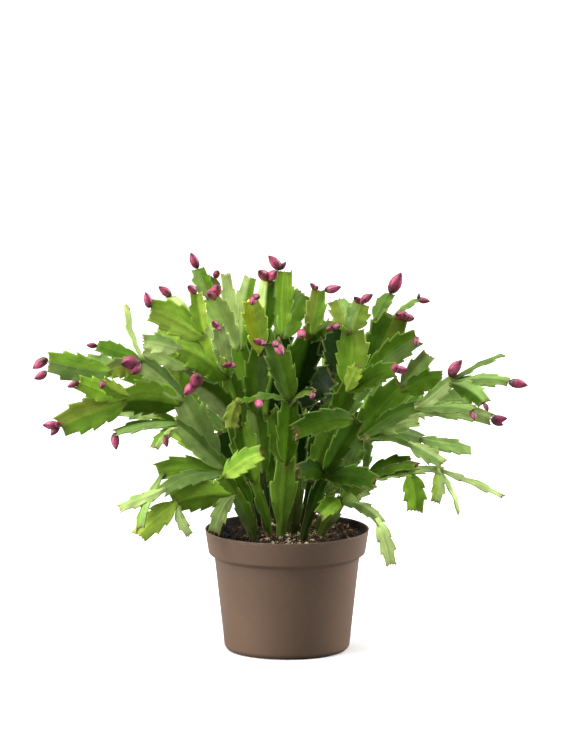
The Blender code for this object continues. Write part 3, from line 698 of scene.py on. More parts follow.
def speck_group():
    """Scattered specks, such as dust or peat: a mask of small round spots where the noise is high."""
    name = "Specks"
    if name in bpy.data.node_groups:
        return bpy.data.node_groups[name]
    tree, tools, given, out = shader_group(
        name,
        (
            ("Coordinate", "NodeSocketVector", None),
            ("Scale", "NodeSocketFloat", 700.0),
            ("Size", "NodeSocketFloat", 0.25),
            ("Amount", "NodeSocketFloat", 0.5),
        ),
        (("Mask", "NodeSocketFloat"),),
    )
    cells = tools.made("ShaderNodeTexVoronoi", {"Vector": given["Coordinate"], "Scale": given["Scale"]})
    spots = tools.between(cells["Distance"], tools.times(given["Size"], 0.5), given["Size"], 1.0, 0.0)
    where = tools.noise(given["Coordinate"], tools.times(given["Scale"], 0.13), 2.0)
    bar = tools.minus(0.72, tools.times(given["Amount"], 0.4))
    patches = tools.between(where, bar, tools.plus(bar, 0.1))
    tools.join(tools.times(spots, patches), out["Mask"])
    return tree


# Materials


def plastic_material(settings):
    """Taupe moulded plastic: nearly even, a little dusty, with scuffs at the lip and painted shadow on its
    inner wall.
    """
    material, tools, shader = new_material("pot_plastic", roughness=0.4, Specular_IOR_Level=0.45)
    coords = tools.object_coords()
    base = mottled(tools, tuple(settings.colour) + (1,), coords, 14.0, 0.07, 2600.0, 0.10)
    height = tools.split(coords)[2]
    lip = tools.between(height, settings.height - 0.0035, settings.height - 0.0004)
    scuffs = tools.noise(tools.object_coords((1, 1, 7)), 190.0, 4.0, 0.7)
    worn = tools.times(tools.between(scuffs, 0.5, 0.68), tools.plus(lip, 0.16))
    colour = tools.mix(tools.times(worn, 0.5), base["Colour"], (0.33, 0.27, 0.22))
    dust = tools.group(speck_group(), Coordinate=coords, Scale=900.0, Size=0.22, Amount=0.35)["Mask"]
    near = tools.between(height, settings.height - 0.012, settings.height)
    colour = tools.mix(tools.times(dust, tools.times(near, 0.8)), colour, (0.05, 0.03, 0.018))
    # Painted shadow: the inner wall is darkened to near black, a little less just under the lip, and made
    # rougher.
    normal = tools.add("ShaderNodeNewGeometry").outputs["Normal"]
    inputs = {0: normal, 1: tools.object_coords((1, 1, 0))}
    outward = tools.made("ShaderNodeVectorMath", inputs, operation="DOT_PRODUCT")["Value"]
    inside = tools.between(outward, -0.004, -0.02)
    inner_wall_shadow = tools.times(inside, tools.between(height, settings.height, settings.height - 0.002, 0.55, 0.94))
    colour = tools.mix(inner_wall_shadow, colour, (0.016, 0.010, 0.007))
    tools.join(colour, shader["Base Color"])
    rough = tools.between(base["Patches"], 0.0, 1.0, 0.36, 0.46, "LINEAR")
    rough = tools.plus(rough, tools.times(inside, 0.5))
    tools.join(tools.plus(rough, tools.times(worn, 0.2)), shader["Roughness"])
    flow = tools.noise(tools.object_coords((1, 1, 3)), 60.0, 3.0)
    relief = tools.plus(tools.times(base["Grain"], 0.5), flow)
    tools.join(tools.bump(relief, 0.10, 0.0006), shader["Normal"])
    return material


def peat_material(name, settings, crumb=False):
    """Moist peat with bark chips, darker to the left with painted shadow; each loose crumb has a tint of its
    own.
    """
    material, tools, shader = new_material(name, roughness=0.9, Specular_IOR_Level=0.25)
    coords = tools.object_coords()
    dark, pale = tuple(settings.dark), tuple(settings.pale)
    stops = (
        (0.0, mixed(dark, (0, 0, 0), 0.4)),
        (0.34, dark),
        (0.58, (0.120, 0.052, 0.022)),
        (0.72, (0.240, 0.145, 0.065)),
        (0.84, pale),
        (1.0, (0.40, 0.41, 0.22)),
    )
    if crumb:
        tint = tools.attribute("tint", "Fac")
    else:
        tint = tools.times(tools.between(tools.noise(coords, 420.0, 4.0, 0.7), 0.42, 0.75), 0.55)
    # Painted shadow: towards the left the pale chips thin out and the peat darkens, along an edge made uneven
    # by noise. The pale chips also thin out to the right.
    across = tools.split(coords)[0]
    place_wobble = tools.between(tools.noise(coords, 60.0, 2.0), 0.35, 0.65, -0.010, 0.010)
    place = tools.plus(across, place_wobble)
    tint = tools.times(tint, tools.between(place, -0.042, -0.010, 0.42, 1.0))
    tint = tools.times(tint, tools.between(place, 0.018, 0.034, 1.0, 0.76))
    painted_left_shadow = tools.between(place, -0.046, -0.014, 0.30, 1.0)
    base = mottled(tools, tools.shaded(tools.ramp(tint, stops), painted_left_shadow), coords, 260.0, 0.30, 2400.0, 0.7)
    tools.join(base["Colour"], shader["Base Color"])
    tools.join(tools.between(base["Patches"], 0.0, 1.0, 0.78, 0.95, "LINEAR"), shader["Roughness"])
    tools.join(tools.bump(tools.noise(coords, 1500.0, 4.0, 0.7), 0.8, 0.0005), shader["Normal"])
    return material


def skin_material(settings):
    """Waxy stem skin: the segment's tone, mottled, paler along the rib and veins, and a painted glow of light
    at the thin edges.
    """
    material, tools, shader = new_material("stem_skin", roughness=0.42, Specular_IOR_Level=0.03)
    coords = tools.object_coords()
    leaf = tools.split(tools.attribute("leaf"))
    across = tools.math("ABSOLUTE", leaf[0])
    along = leaf[1]
    base = mottled(tools, tools.attribute("tone", "Color"), coords, 75.0, 0.17, 1700.0, 0.16)
    lengthwise = tools.combine(tools.times(leaf[0], 5.0), tools.times(along, 1.3), tools.times(leaf[2], 41.0))
    streaks = tools.noise(lengthwise, 1.0, 3.0, 0.6)
    shade = tools.between(streaks, 0.3, 0.7, 0.82, 1.16, "LINEAR")
    colour = tools.shaded(base["Colour"], shade)
    wander = tools.times(tools.minus(tools.noise(coords, 120.0, 2.0), 0.5), 0.10)
    slant = tools.minus(tools.plus(along, wander), tools.times(across, 0.16))
    wave = tools.math("SINE", tools.times(slant, 40.0))
    vein = tools.times(tools.between(wave, 0.72, 1.0), tools.between(across, 0.85, 0.1))
    rib = tools.between(across, 0.11, 0.015)
    lines = tools.math("MAXIMUM", tools.times(rib, 0.34), tools.times(vein, 0.13))
    lighter = tools.mix(1.0, colour, (1.7, 1.55, 1.9), "MULTIPLY")
    colour = tools.mix(lines, colour, lighter)
    # Painted light: the thin edges are mixed towards pale lime, a glow of light shining through them.
    edge = tools.between(across, 0.80, 1.0)
    colour = tools.mix(tools.times(edge, 0.24), colour, tuple(settings.edge_glow_colour))
    foot = tools.between(along, 0.075, 0.0)
    end = tools.between(along, 0.985, 1.03)
    joint = tools.math("MAXIMUM", foot, end)
    colour = tools.mix(tools.times(joint, 0.28), colour, tuple(settings.joint_colour))
    height = tools.split(coords)[2]
    woody = tools.between(height, ROOT_Z * MM + 0.045, ROOT_Z * MM + 0.010)
    colour = tools.mix(tools.times(woody, 0.55), colour, (0.040, 0.036, 0.012))
    freckle = tools.group(speck_group(), Coordinate=coords, Scale=620.0, Size=0.16, Amount=0.25)["Mask"]
    colour = tools.mix(tools.times(freckle, 0.22), colour, (0.42, 0.36, 0.14))
    tools.join(colour, shader["Base Color"])
    rough = tools.between(base["Patches"], 0.0, 1.0, 0.42, 0.58, "LINEAR")
    tools.join(rough, shader["Roughness"])
    relief = tools.plus(tools.times(base["Patches"], 0.5), tools.times(base["Grain"], 0.10))
    relief = tools.plus(relief, tools.times(vein, 0.30))
    tools.join(tools.bump(relief, 0.28, 0.0008), shader["Normal"])
    return material


def petal_material(settings):
    """Bud petals: green-brown scales at the foot, then magenta to pink with a painted lilac sheen, painted
    shade between the petals and a dark tip.
    """
    material, tools, shader = new_material("bud_petal", roughness=0.38, Specular_IOR_Level=0.45)
    petal = tools.split(tools.attribute("petal"))
    margin, proud = tools.attribute("margin", "Fac"), tools.attribute("proud", "Fac")
    around, along, seed = petal[0], petal[1], petal[2]
    streak_place = tools.combine(tools.times(around, 16.0), tools.times(along, 1.6), tools.times(seed, 31.0))
    streaks = tools.noise(streak_place, 1.0, 3.0, 0.6)
    shift = tools.times(tools.minus(tools.noise(streak_place, 0.35, 1.0), 0.5), 0.30)
    foot, deep = tuple(settings.foot), tuple(settings.deep)
    pink, lilac, tip = tuple(settings.pink), tuple(settings.lilac), tuple(settings.tip)
    stops = (
        (0.0, foot),
        (0.20, mixed(foot, deep, 0.15)),
        (0.38, deep),
        (0.60, pink),
        (0.80, mixed(pink, deep, 0.45)),
        (0.93, mixed(deep, tip, 0.6)),
        (1.0, tip),
    )
    colour = tools.ramp(tools.plus(along, shift), stops)
    # Painted sheen: pale lilac streaks along the middle of each bud, stronger on some buds than others.
    painted_sheen = tools.times(tools.between(streaks, 0.45, 0.72), tools.between(along, 0.15, 0.35))
    painted_sheen = tools.times(painted_sheen, tools.between(along, 0.95, 0.75))
    painted_sheen = tools.times(painted_sheen, tools.between(seed, 0.1, 0.9, 0.15, 0.62))
    colour = tools.mix(painted_sheen, colour, lilac)
    colour = tools.mix(tools.times(margin, 0.40), colour, mixed(lilac, pink, 0.3))
    # Painted shade: a petal is darker where it stands less proud, in the crevices between petals; each bud is
    # also darker or lighter at random.
    depth = tools.math("FRACT", tools.times(seed, 7.0))
    shade = tools.between(depth, 0.0, 1.0, 0.68, 1.12, "LINEAR")
    colour = tools.shaded(colour, tools.times(shade, tools.between(proud, 0.0, 0.35, 0.36, 1.0)))
    colour = tools.mix(tools.times(tools.attribute("young", "Fac"), 0.55), colour, (0.085, 0.022, 0.022))
    base = mottled(tools, colour, tools.object_coords(), 320.0, 0.14, 2600.0, 0.14)
    tools.join(base["Colour"], shader["Base Color"])
    tools.join(tools.between(streaks, 0.2, 0.8, 0.32, 0.46, "LINEAR"), shader["Roughness"])
    tools.join(tools.bump(streaks, 0.25, 0.0005), shader["Normal"])
    return material


def felt_material(settings):
    """Brown felt and straw-coloured bristles of the areoles."""
    material, tools, shader = new_material("areole_felt", roughness=0.85, Specular_IOR_Level=0.2)
    felt = tuple(settings.felt)
    stops = (
        (0.0, mixed(felt, (0, 0, 0), 0.5)),
        (0.5, felt),
        (0.85, (0.42, 0.30, 0.15)),
        (1.0, (0.50, 0.20, 0.16)),
    )
    colour = tools.ramp(tools.attribute("tint", "Fac"), stops)
    base = mottled(tools, colour, tools.object_coords(), 900.0, 0.25, 5000.0, 0.4)
    tools.join(base["Colour"], shader["Base Color"])
    tools.join(tools.between(base["Patches"], 0.0, 1.0, 0.75, 0.95, "LINEAR"), shader["Roughness"])
    return material


# Stems


class Segment:
    """One flat stem segment: its rib runs on a curve from where it grows to its end."""

    def __init__(self, row, start, parent):
        _, x, y, z, self.turn, self.width, self.tones = row
        self.parent = parent
        self.follower = None
        self.children = 0
        self.end = Vector((x, y, z))
        self.heading = (self.end - start).normalized()
        self.side = self.side_of_heading()
        pull = UP
        if parent:
            parent.children += 1
            pull = parent.end_heading
            spread = parent.side * parent.width * FORK_SPREAD * self.heading.dot(parent.side)
            start = start - pull * NECK_OVERLAP + spread
        self.start = start
        self.length = (self.end - start).length
        self.start_heading = (self.heading + pull * PARENT_PULL).normalized()
        bend = self.start_heading - self.heading
        self.end_heading = (self.heading - UP * DROOP - bend * 0.5).normalized()

    def side_of_heading(self):
        """The direction across the segment, its flat side looking to the front and turned up by its turn."""
        front = (FRONT - self.heading * FRONT.dot(self.heading)).normalized()
        up = self.heading.cross(front)
        if up.dot(UP) < 0 or (abs(up.dot(UP)) < 0.05 and up.dot(RIGHT) < 0):
            up.negate()
        angle = math.radians(self.turn)
        return up * math.cos(angle) - front * math.sin(angle)

    def follow(self):
        """Makes this segment the straight continuation of the one that it grows from."""
        self.parent.follower = self
        self.start = self.parent.end
        self.length = (self.end - self.start).length
        if self.side.dot(self.parent.side) < 0:
            self.side.negate()

    def at(self, t):
        """(point, tangent, side, face) on the rib at t from 0 to 1."""
        out, back = self.start_heading * self.length, self.end_heading * self.length
        point = (
            self.start * (2 * t**3 - 3 * t**2 + 1)
            + out * (t**3 - 2 * t**2 + t)
            + self.end * (3 * t**2 - 2 * t**3)
            + back * (t**3 - t**2)
        )
        tangent = (
            self.start * (6 * t**2 - 6 * t)
            + out * (3 * t**2 - 4 * t + 1)
            + self.end * (6 * t - 6 * t**2)
            + back * (3 * t**2 - 2 * t)
        ).normalized()
        side = (self.side - tangent * self.side.dot(tangent)).normalized()
        return point, tangent, side, side.cross(tangent)


def segments_of(cutting):
    """The segments of one cutting, in the order of its table."""
    (x, y), *rows = STEMS[cutting]
    joints = [Vector((x, y, ROOT_Z))]
    made = []
    for row in rows:
        parent = made[row[0] - 1] if row[0] else None
        segment = Segment(row, joints[row[0]], parent)
        joints.append(segment.end)
        made.append(segment)
    for parent in made:
        children = [s for s in made if s.parent is parent and s.heading.dot(parent.heading) > STRAIGHT_ON]
        if children:
            max(children, key=lambda s: s.heading.dot(parent.heading)).follow()
    return made


SEGMENTS = {cutting: segments_of(cutting) for cutting in STEMS}


def outline_rows(keys, even_foot):
    """The rows of a segment: (how far along, half-width share, how far ahead, tooth)."""
    rows = [keys[0][:3] + (0,)]
    for tooth, (low, high) in enumerate(zip(keys, keys[1:])):
        rising = high[2] > low[2]
        for i in range(1, high[3] + 1):
            x = i / high[3]
            swell = math.sin(x * math.pi / 2) if tooth == 0 and not even_foot else x
            reach = x**TOOTH_SHARPNESS if rising else x
            share = low[1] + (high[1] - low[1]) * swell
            ahead = low[2] + (high[2] - low[2]) * reach
            rows.append((low[0] + (high[0] - low[0]) * x, share, ahead, tooth))
    rows.append((1.0, 0.20, -0.012, len(keys) - 2))
    return rows


OUTLINES = {
    (keys, even_foot): outline_rows(keys, even_foot)
    for keys in (TWO_TEETH, THREE_TEETH)
    for even_foot in (False, True)
}


def teeth_of(segment):
    """The key points of a segment's edge."""
    return THREE_TEETH if segment.length > LONG_SEGMENT else TWO_TEETH


def segment_shell(segment, draw, settings, points, tones, leaves, faces):
    """Adds one segment's closed shell to the lists, with its tone and its place across and along it."""
    neck = (LEAST_NECK if segment.parent else ROOT_NECK) / 2
    seed = draw.random()
    swing = [[draw.uniform(-0.4, 0.4) for _ in THREE_TEETH] for _ in range(2)]
    fold = settings.fold * draw.uniform(0.4, 1.5)
    cup = draw.uniform(-0.6, 1.0)
    phase = draw.uniform(0, math.tau)
    lean = Vector((0, -0.5, 1))
    tint = draw.uniform(0.88, 1.14)
    names = segment.tones
    upper, lower = TONES[names[0]], TONES[names[min(1, len(names) - 1)]]
    tip = TONES[names[2]] if len(names) > 2 else None
    raised = 1 if segment.side.dot(UP) > 0 else -1
    rib, rib_end = settings.rib / MM / 2, settings.rib_end / MM / 2
    blade, rim = settings.blade / MM / 2, settings.rim / MM / 2
    ripple = settings.ripple / MM
    first = len(points)
    rows = OUTLINES[teeth_of(segment), segment.parent is None]
    for t, share, ahead, tooth in rows:
        sunk = t == 0
        point, tangent, side, face = segment.at(t)
        if sunk and segment.parent:
            point = point - tangent * NECK_SINK
        if not segment.parent and segment.start.y < 0:
            share *= ROOT_SHARE + (1 - ROOT_SHARE) * smoothstep(*ROOT_WIDENS, t)
        half = max(neck, share * segment.width / 2)
        outward = face if face.dot(lean) > 0 else -face
        thick = rib + (rib_end - rib) * t**2
        if t == 1.0 and ahead < 0:
            thick *= END_THICKNESS
        ring = []
        for layer in (1, -1):
            for u in COLUMNS if layer > 0 else reversed(COLUMNS):
                bank = swing[0 if u < 0 else 1][tooth]
                reach = ahead * (1 + bank) * abs(u) ** 3 * segment.length
                wide = half * (1 + 0.05 * bank * abs(u))
                near = math.exp(-((u * half / RIB_WIDTH) ** 2))
                flat = rim + (blade - rim) * (1 - abs(u) ** BLADE_POWER)
                deep = (flat + (thick - min(thick, flat)) * near) * layer
                swell = math.sin(t * EDGE_WAVES + phase + FAR_EDGE_TURN * (u < 0)) * (t > WAVES_FROM)
                wave = swell * ripple * u * u
                back = -outward * (fold * abs(u) * half + cup * (0.25 - (t - 0.5) ** 2) * CUP)
                place = point + side * (wide * u) + tangent * reach + face * (deep + wave) + back
                ring.append((place, u))
        for place, u in ring:
            points.append(place)
            # The upper and lower halves take their own tones, so one half can carry painted light and the
            # other painted shade.
            colour = mixed(lower, upper, smoothstep(-0.12, 0.12, u * raised))
            if tip:
                colour = mixed(colour, tip, smoothstep(0.45, 0.85, t))
            tones.append(tuple(c * tint for c in colour) + (1.0,))
            leaves.append((u, t + (ahead if t > 0.9 else 0), seed))
    faces.extend(ring_faces(first, len(rows), 2 * len(COLUMNS)))


def kept_inside(points):
    """The points in millimetres, with each one that stands outside the solids' box brought to its wall."""
    low, high = SOLID_BOX
    return [tuple(min(max(c, a / MM), b / MM) for c, a, b in zip(p, low, high)) for p in points]


def make_stem(cutting, material, settings):
    """One cutting, as one piece of closed shells that sit in each other at the joints."""
    draw = random.Random(sum(ord(c) for c in cutting))
    points, tones, leaves, faces = [], [], [], []
    for segment in SEGMENTS[cutting]:
        segment_shell(segment, draw, settings, points, tones, leaves, faces)
    stem = mesh_piece(
        f"skin_{cutting}",
        kept_inside(points),
        faces,
        (("tone", "FLOAT_COLOR", tones), ("leaf", "FLOAT_VECTOR", leaves)),
    )
    return finished(stem, material, "stem", f"stem_{cutting}")


# Areoles


def areole_seats():
    """(place, direction, size) of each areole, in the notches and at the stems' ends."""
    seats = []
    budded = {(cutting, number) for cutting, number, *_ in BUDS}
    for cutting, segments in SEGMENTS.items():
        for number, segment in enumerate(segments, 1):
            for t, share, ahead, _ in teeth_of(segment)[2:-1:2]:
                point, tangent, side, face = segment.at(t)
                for sign in (-1, 1):
                    place = point + side * (sign * share * segment.width / 2 * 0.97)
                    place = place + tangent * ahead * segment.length
                    seats.append((place, side * sign * 0.7 + tangent, 0.55))
            if not segment.children:
                point, tangent, side, face = segment.at(1.0)
                size = 1.0 if (cutting, number) in budded else 1.5
                for across in (-0.5, 0.0, 0.5):
                    place = point + side * (across * segment.width * 0.28)
                    seats.append((place, tangent + side * across * 0.7, size))
    return [seat for seat in seats if inside_box(seat[0], BRISTLE_REACH * seat[2])]


def inside_box(place, reach):
    """Whether all that lies within a reach of a place is inside the solids' box."""
    return all(low / MM + reach <= c <= high / MM - reach for c, low, high in zip(place, *SOLID_BOX))


def tuft_mesh(settings):
    """A felt pad with a few short bristles of unlike lengths and tilts, pointing up +Z."""
    bm = bmesh.new()
    bmesh.ops.create_icosphere(bm, subdivisions=1, radius=settings.pad)
    bmesh.ops.scale(bm, vec=(1, 1, 0.7), verts=bm.verts)
    for i in range(BRISTLES):
        turn = math.tau * i / BRISTLES
        tilt = Matrix.Rotation(turn, 4, "Z") @ Matrix.Rotation(math.radians(14 + 9 * (i % 3)), 4, "Y")
        length = settings.bristle * (0.7 + 0.15 * (i * 2 % 5))
        place = tilt @ Matrix.Translation((0, 0, settings.pad * 0.3 + length / 2))
        size = {"radius1": length * 0.055, "radius2": length * 0.012, "depth": length}
        bmesh.ops.create_cone(bm, cap_ends=True, segments=3, matrix=place, **size)
    return mesh_of(bm, "tuft")


def geometry_tree(name, inputs):
    """A new Geometry Nodes tree with a mesh in and out: (tree, tools, its inputs, its output)."""
    tree = bpy.data.node_groups.new(name, "GeometryNodeTree")
    tree.interface.new_socket("Geometry", in_out="INPUT", socket_type="NodeSocketGeometry")
    for key, kind, default in inputs:
        socket = tree.interface.new_socket(key, in_out="INPUT", socket_type=kind)
        if default is not None:
            socket.default_value = default
    tree.interface.new_socket("Geometry", in_out="OUTPUT", socket_type="NodeSocketGeometry")
    tools = Nodes(tree)
    return tree, tools, tools.add("NodeGroupInput").outputs, tools.add("NodeGroupOutput").inputs


def grown(name, base, tree, values):
    """The base object's mesh run through a tree, as a new plain mesh object; the base is removed."""
    modifier = base.modifiers.new("Grow", "NODES")
    modifier.node_group = tree
    for item in tree.interface.items_tree:
        if item.item_type == "SOCKET" and item.in_out == "INPUT" and item.name in values:
            modifier[item.identifier] = values[item.name]
    graph = bpy.context.evaluated_depsgraph_get()
    mesh = bpy.data.meshes.new_from_object(base.evaluated_get(graph))
    mesh.name = name
    base.modifiers.clear()
    bpy.data.objects.remove(base)
    return linked(name, mesh)


def random_value(tools, low, high, seed, kind="FLOAT"):
    """A random number, or a random vector, between two ends."""
    first = 0 if kind == "FLOAT_VECTOR" else 2
    inputs = {first: low, first + 1: high, "Seed": seed}
    return tools.made("FunctionNodeRandomValue", inputs, data_type=kind)[first // 2]


def tuft_tree(tuft, material):
    """Stands a tuft on each point, along its direction and at its size."""
    sizes = (("Least Size", "NodeSocketFloat", 0.7), ("Most Size", "NodeSocketFloat", 1.3))
    tree, tools, given, out = geometry_tree("Areole Tufts", (("Seed", "NodeSocketInt", 0), *sizes))
    shape = tools.made("GeometryNodeObjectInfo", {"Object": tuft})["Geometry"]
    aim = tools.made("GeometryNodeInputNamedAttribute", {"Name": "aim"}, data_type="FLOAT_VECTOR")
    size = tools.made("GeometryNodeInputNamedAttribute", {"Name": "size"}, data_type="FLOAT")
    align = tools.made("FunctionNodeAlignRotationToVector", {"Vector": aim["Attribute"]}, axis="Z")
    angle = random_value(tools, 0.0, math.tau, given["Seed"])
    turn = tools.made("FunctionNodeAxisAngleToRotation", {"Axis": (0, 0, 1), "Angle": angle})
    spin = tools.made("FunctionNodeRotateRotation", {0: align[0], 1: turn[0]}, rotation_space="LOCAL")
    spread = random_value(tools, given["Least Size"], given["Most Size"], given["Seed"])
    scale = tools.times(size["Attribute"], spread)
    finish_tree(tools, given["Geometry"], shape, spin[0], scale, given["Seed"], material, out)
    return tree


def finish_tree(tools, points, shape, turn, scale, seed, material, out):
    """The shape on every point, each with a random tint, then plain geometry with its material."""
    inputs = {"Points": points, "Instance": shape, "Rotation": turn, "Scale": scale}
    placed = tools.made("GeometryNodeInstanceOnPoints", inputs)[0]
    inputs = {"Name": "tint", "Geometry": placed, "Value": random_value(tools, 0.0, 1.0, seed)}
    tint = tools.made("GeometryNodeStoreNamedAttribute", inputs, data_type="FLOAT", domain="INSTANCE")
    real = tools.made("GeometryNodeRealizeInstances", {"Geometry": tint["Geometry"]})
    inputs = {"Material": material, "Geometry": real["Geometry"]}
    tools.join(tools.made("GeometryNodeSetMaterial", inputs)["Geometry"], out["Geometry"])


# Peat


def peat_height(x, y, settings):
    """The height of the peat at a place, in millimetres."""
    level, crown = settings.level / MM, settings.crown / MM
    r = math.hypot(x, y)
    angle = math.atan2(y, x)
    swell = math.sin(3 * angle + r / 9) * 0.6 + math.cos(5 * angle - r / 6) * 0.4
    share = min(1.0, r / PEAT_EDGE)
    lumps = noise.fractal(Vector((x, y, 3.0)) / 5.0, 0.6, 2.1, 4) * 0.9
    height = level + crown * (1 - share**2) + swell * min(1, r / 20) * (1 - share**8)
    return height + lumps * (1 - share**10)


def crumb_tree(material):
    """Scatters jagged crumbs over a surface: the density, the sizes and the seed are inputs."""
    sizes = (("Density", "NodeSocketFloat", 100000.0), ("Crumb Size", "NodeSocketFloat", 0.001))
    tree, tools, given, out = geometry_tree("Peat Crumbs", (*sizes, ("Seed", "NodeSocketInt", 0)))
    seed, size = given["Seed"], given["Crumb Size"]
    inputs = {"Mesh": given["Geometry"], "Density": given["Density"], "Seed": seed}
    scatter = tools.made("GeometryNodeDistributePointsOnFaces", inputs, distribute_method="RANDOM")
    ball = tools.made("GeometryNodeMeshIcoSphere", {"Subdivisions": 1, "Radius": size})["Mesh"]
    low, high = tools.times(size, -0.32), tools.times(size, 0.32)
    least, most = tools.combine(low, low, low), tools.combine(high, high, high)
    push = random_value(tools, least, most, seed, "FLOAT_VECTOR")
    jag = tools.made("GeometryNodeSetPosition", {"Geometry": ball, "Offset": push})["Geometry"]
    flat = tools.made("GeometryNodeSetShadeSmooth", {"Geometry": jag, "Shade Smooth": False})["Geometry"]
    angles = random_value(tools, (0, 0, 0), (math.tau, math.tau, math.tau), seed, "FLOAT_VECTOR")
    turn = tools.made("FunctionNodeEulerToRotation", {0: angles})[0]
    shape = random_value(tools, (0.5, 0.45, 0.3), (1.3, 1.0, 0.8), seed, "FLOAT_VECTOR")
    chance = random_value(tools, 0.0, 1.0, tools.plus(seed, 1))
    larger = tools.plus(tools.times(tools.math("POWER", chance, 4.0), 2.1), 0.55)
    scale = tools.made("ShaderNodeVectorMath", {0: shape, "Scale": larger}, operation="SCALE")[0]
    finish_tree(tools, scatter["Points"], flat, turn, scale, seed, material, out)
    return tree


def peat_disc(radius, rings, spokes, settings):
    """Rings of points over the peat's top, in millimetres, from the middle out, and their faces."""
    points = [Vector((0, 0, peat_height(0, 0, settings)))]
    faces = []
    for k in range(1, rings + 1):
        r = radius * k / rings
        for i in range(spokes):
            angle = math.tau * (i + 0.5 * (k % 2)) / spokes
            x, y = r * math.cos(angle), r * math.sin(angle)
            points.append(Vector((x, y, peat_height(x, y, settings))))
    for i in range(spokes):
        faces.append((0, 1 + i, 1 + (i + 1) % spokes))
    for k in range(rings - 1):
        low, high = 1 + k * spokes, 1 + (k + 1) * spokes
        for i in range(spokes):
            j = (i + 1) % spokes
            faces.append((low + i, high + i, high + j, low + j))
    return points, faces


def root_ball(settings, pot):
    """The peat's lumpy top, closed below by rings that follow the pot's inside."""
    wall = pot.wall / MM + SEAT_GAP
    outer = (pot.rim_radius, pot.band_radius, pot.shoulder_radius, pot.foot_radius)
    rim, band, shoulder, foot = (radius / MM - wall for radius in outer)
    band_foot = (pot.height - pot.band_height) / MM
    crest = band + (rim - band) / (pot.band_height / MM) * (settings.level / MM - band_foot)
    points, faces = peat_disc(crest, PEAT_RINGS, PEAT_SPOKES, settings)
    lower = (
        (band, band_foot + 2),
        (shoulder, band_foot - pot.shoulder_drop / MM + 1.2),
        (foot - 1.0, 6.0),
        (foot - 3.2, 2.0),
    )
    top = 1 + (PEAT_RINGS - 1) * PEAT_SPOKES
    for r, z in lower:
        low = len(points)
        for i in range(PEAT_SPOKES):
            angle = math.tau * i / PEAT_SPOKES
            points.append(Vector((r * math.cos(angle), r * math.sin(angle), z)))
            j = (i + 1) % PEAT_SPOKES
            faces.append((top + i, low + i, low + j, top + j))
        top = low
    faces.append(tuple(top + i for i in reversed(range(PEAT_SPOKES))))
    return points, faces


# Buds


def bud_seat(segment, across, on_face, reaches):
    """Where a cluster's foot sits, just clear of the segment's end or, with on_face, of its front."""
    point, tangent, side, face = segment.at(1.0)
    out = tangent
    if on_face:
        out = face if face.dot(FRONT) > 0 else -face
        point = point + out * (1.0 - 2 * across**2 + SEAT_GAP) - tangent
    upper = side if side.dot(UP) > 0 else -side
    point = point + upper * segment.width / 2 * HORN_SHARE * across
    point = point + tangent * segment.length * HORN_REACH * across**2
    clear = 0
    for reach in reaches:
        base = reach.length * BUD_SLENDERNESS / 2 * BUD_FOOT_SHARE
        clear = max(clear, base * math.sin(reach.angle(out)))
    return point + out * (clear + SEAT_GAP), out


def bud_radius(t):
    """A bud's radius over its widest: a short neck, a full body below the middle and a drawn-out tip."""
    for (a, low), (b, high) in zip(BUD_OUTLINE, BUD_OUTLINE[1:]):
        if t <= b:
            return low + (high - low) * (t - a) / (b - a)
    return BUD_OUTLINE[-1][1]


def petal_rise(angle, t):
    """(how proud the outermost petal here stands, how near its margin the place is), both 0 to 1."""
    for start, end, count, turn, depth in PETAL_TIERS:
        y = (t - start) / (end - start)
        if 0 <= y < 1:
            place = (angle / math.tau * count + turn + 0.06 * t) % 1.0 - 0.5
            width = 0.60 * (1 - y**2.6) ** 0.5
            inside = width - abs(place)
            if inside > 0:
                edge = smoothstep(0, 0.055, inside)
                return depth * edge, 1 - smoothstep(0.02, 0.13, inside)
    return 0.0, 0.0


def bud_shell(base, reach, draw, settings, points, petals, margins, proud, young, faces):
    """Adds one bud to the lists: a turned body whose overlapping petals stand a little proud."""
    length = reach.length
    widest = length * BUD_SLENDERNESS / 2
    turn = reach.to_track_quat("Z", "X").to_matrix()
    sides, rows = settings.sides, settings.rows
    spin, seed = draw.uniform(0, math.tau), draw.random()
    bend = Vector((draw.uniform(-1, 1), draw.uniform(-1, 1), 0)) * length * BUD_BEND
    first = len(points)
    for r in range(rows):
        t = r / (rows - 1)
        t = t * 0.85 + 0.15 * t * t
        body = bud_radius(t) * widest
        for i in range(sides):
            angle = math.tau * i / sides
            rise, margin = petal_rise(angle + spin, t)
            radius = body * (1 + settings.petal * (rise - 0.8))
            local = Vector((math.cos(angle) * radius, math.sin(angle) * radius, t * length))
            points.append(base + turn @ (local + bend * math.sin(t * math.pi)))
            petals.append((angle / math.tau, t, seed))
            margins.append(margin)
            proud.append(rise)
            young.append(1 - smoothstep(YOUNG_LENGTH, RIPE_LENGTH, length))
    faces.extend(ring_faces(first, rows, sides))


def make_buds(number, cluster, material, settings):
    """A cluster of buds that grow from one place on a segment's end."""
    cutting, index, across, on_face, reaches = cluster
    segment = SEGMENTS[cutting][index - 1]
    reaches = [Vector(reach) for reach in reaches]
    base, out = bud_seat(segment, across, on_face, reaches)
    draw = random.Random(number)
    points, petals, margins, proud, young, faces = [], [], [], [], [], []
    for reach in reaches:
        bud_shell(base, reach, draw, settings, points, petals, margins, proud, young, faces)
    name = f"{number:02d}_{cutting}"
    piece = mesh_piece(
        f"petals_{name}",
        points,
        faces,
        (
            ("petal", "FLOAT_VECTOR", petals),
            ("margin", "FLOAT", margins),
            ("proud", "FLOAT", proud),
            ("young", "FLOAT", young),
        ),
    )
    return finished(piece, material, "bud", f"buds_{name}")


# Pot


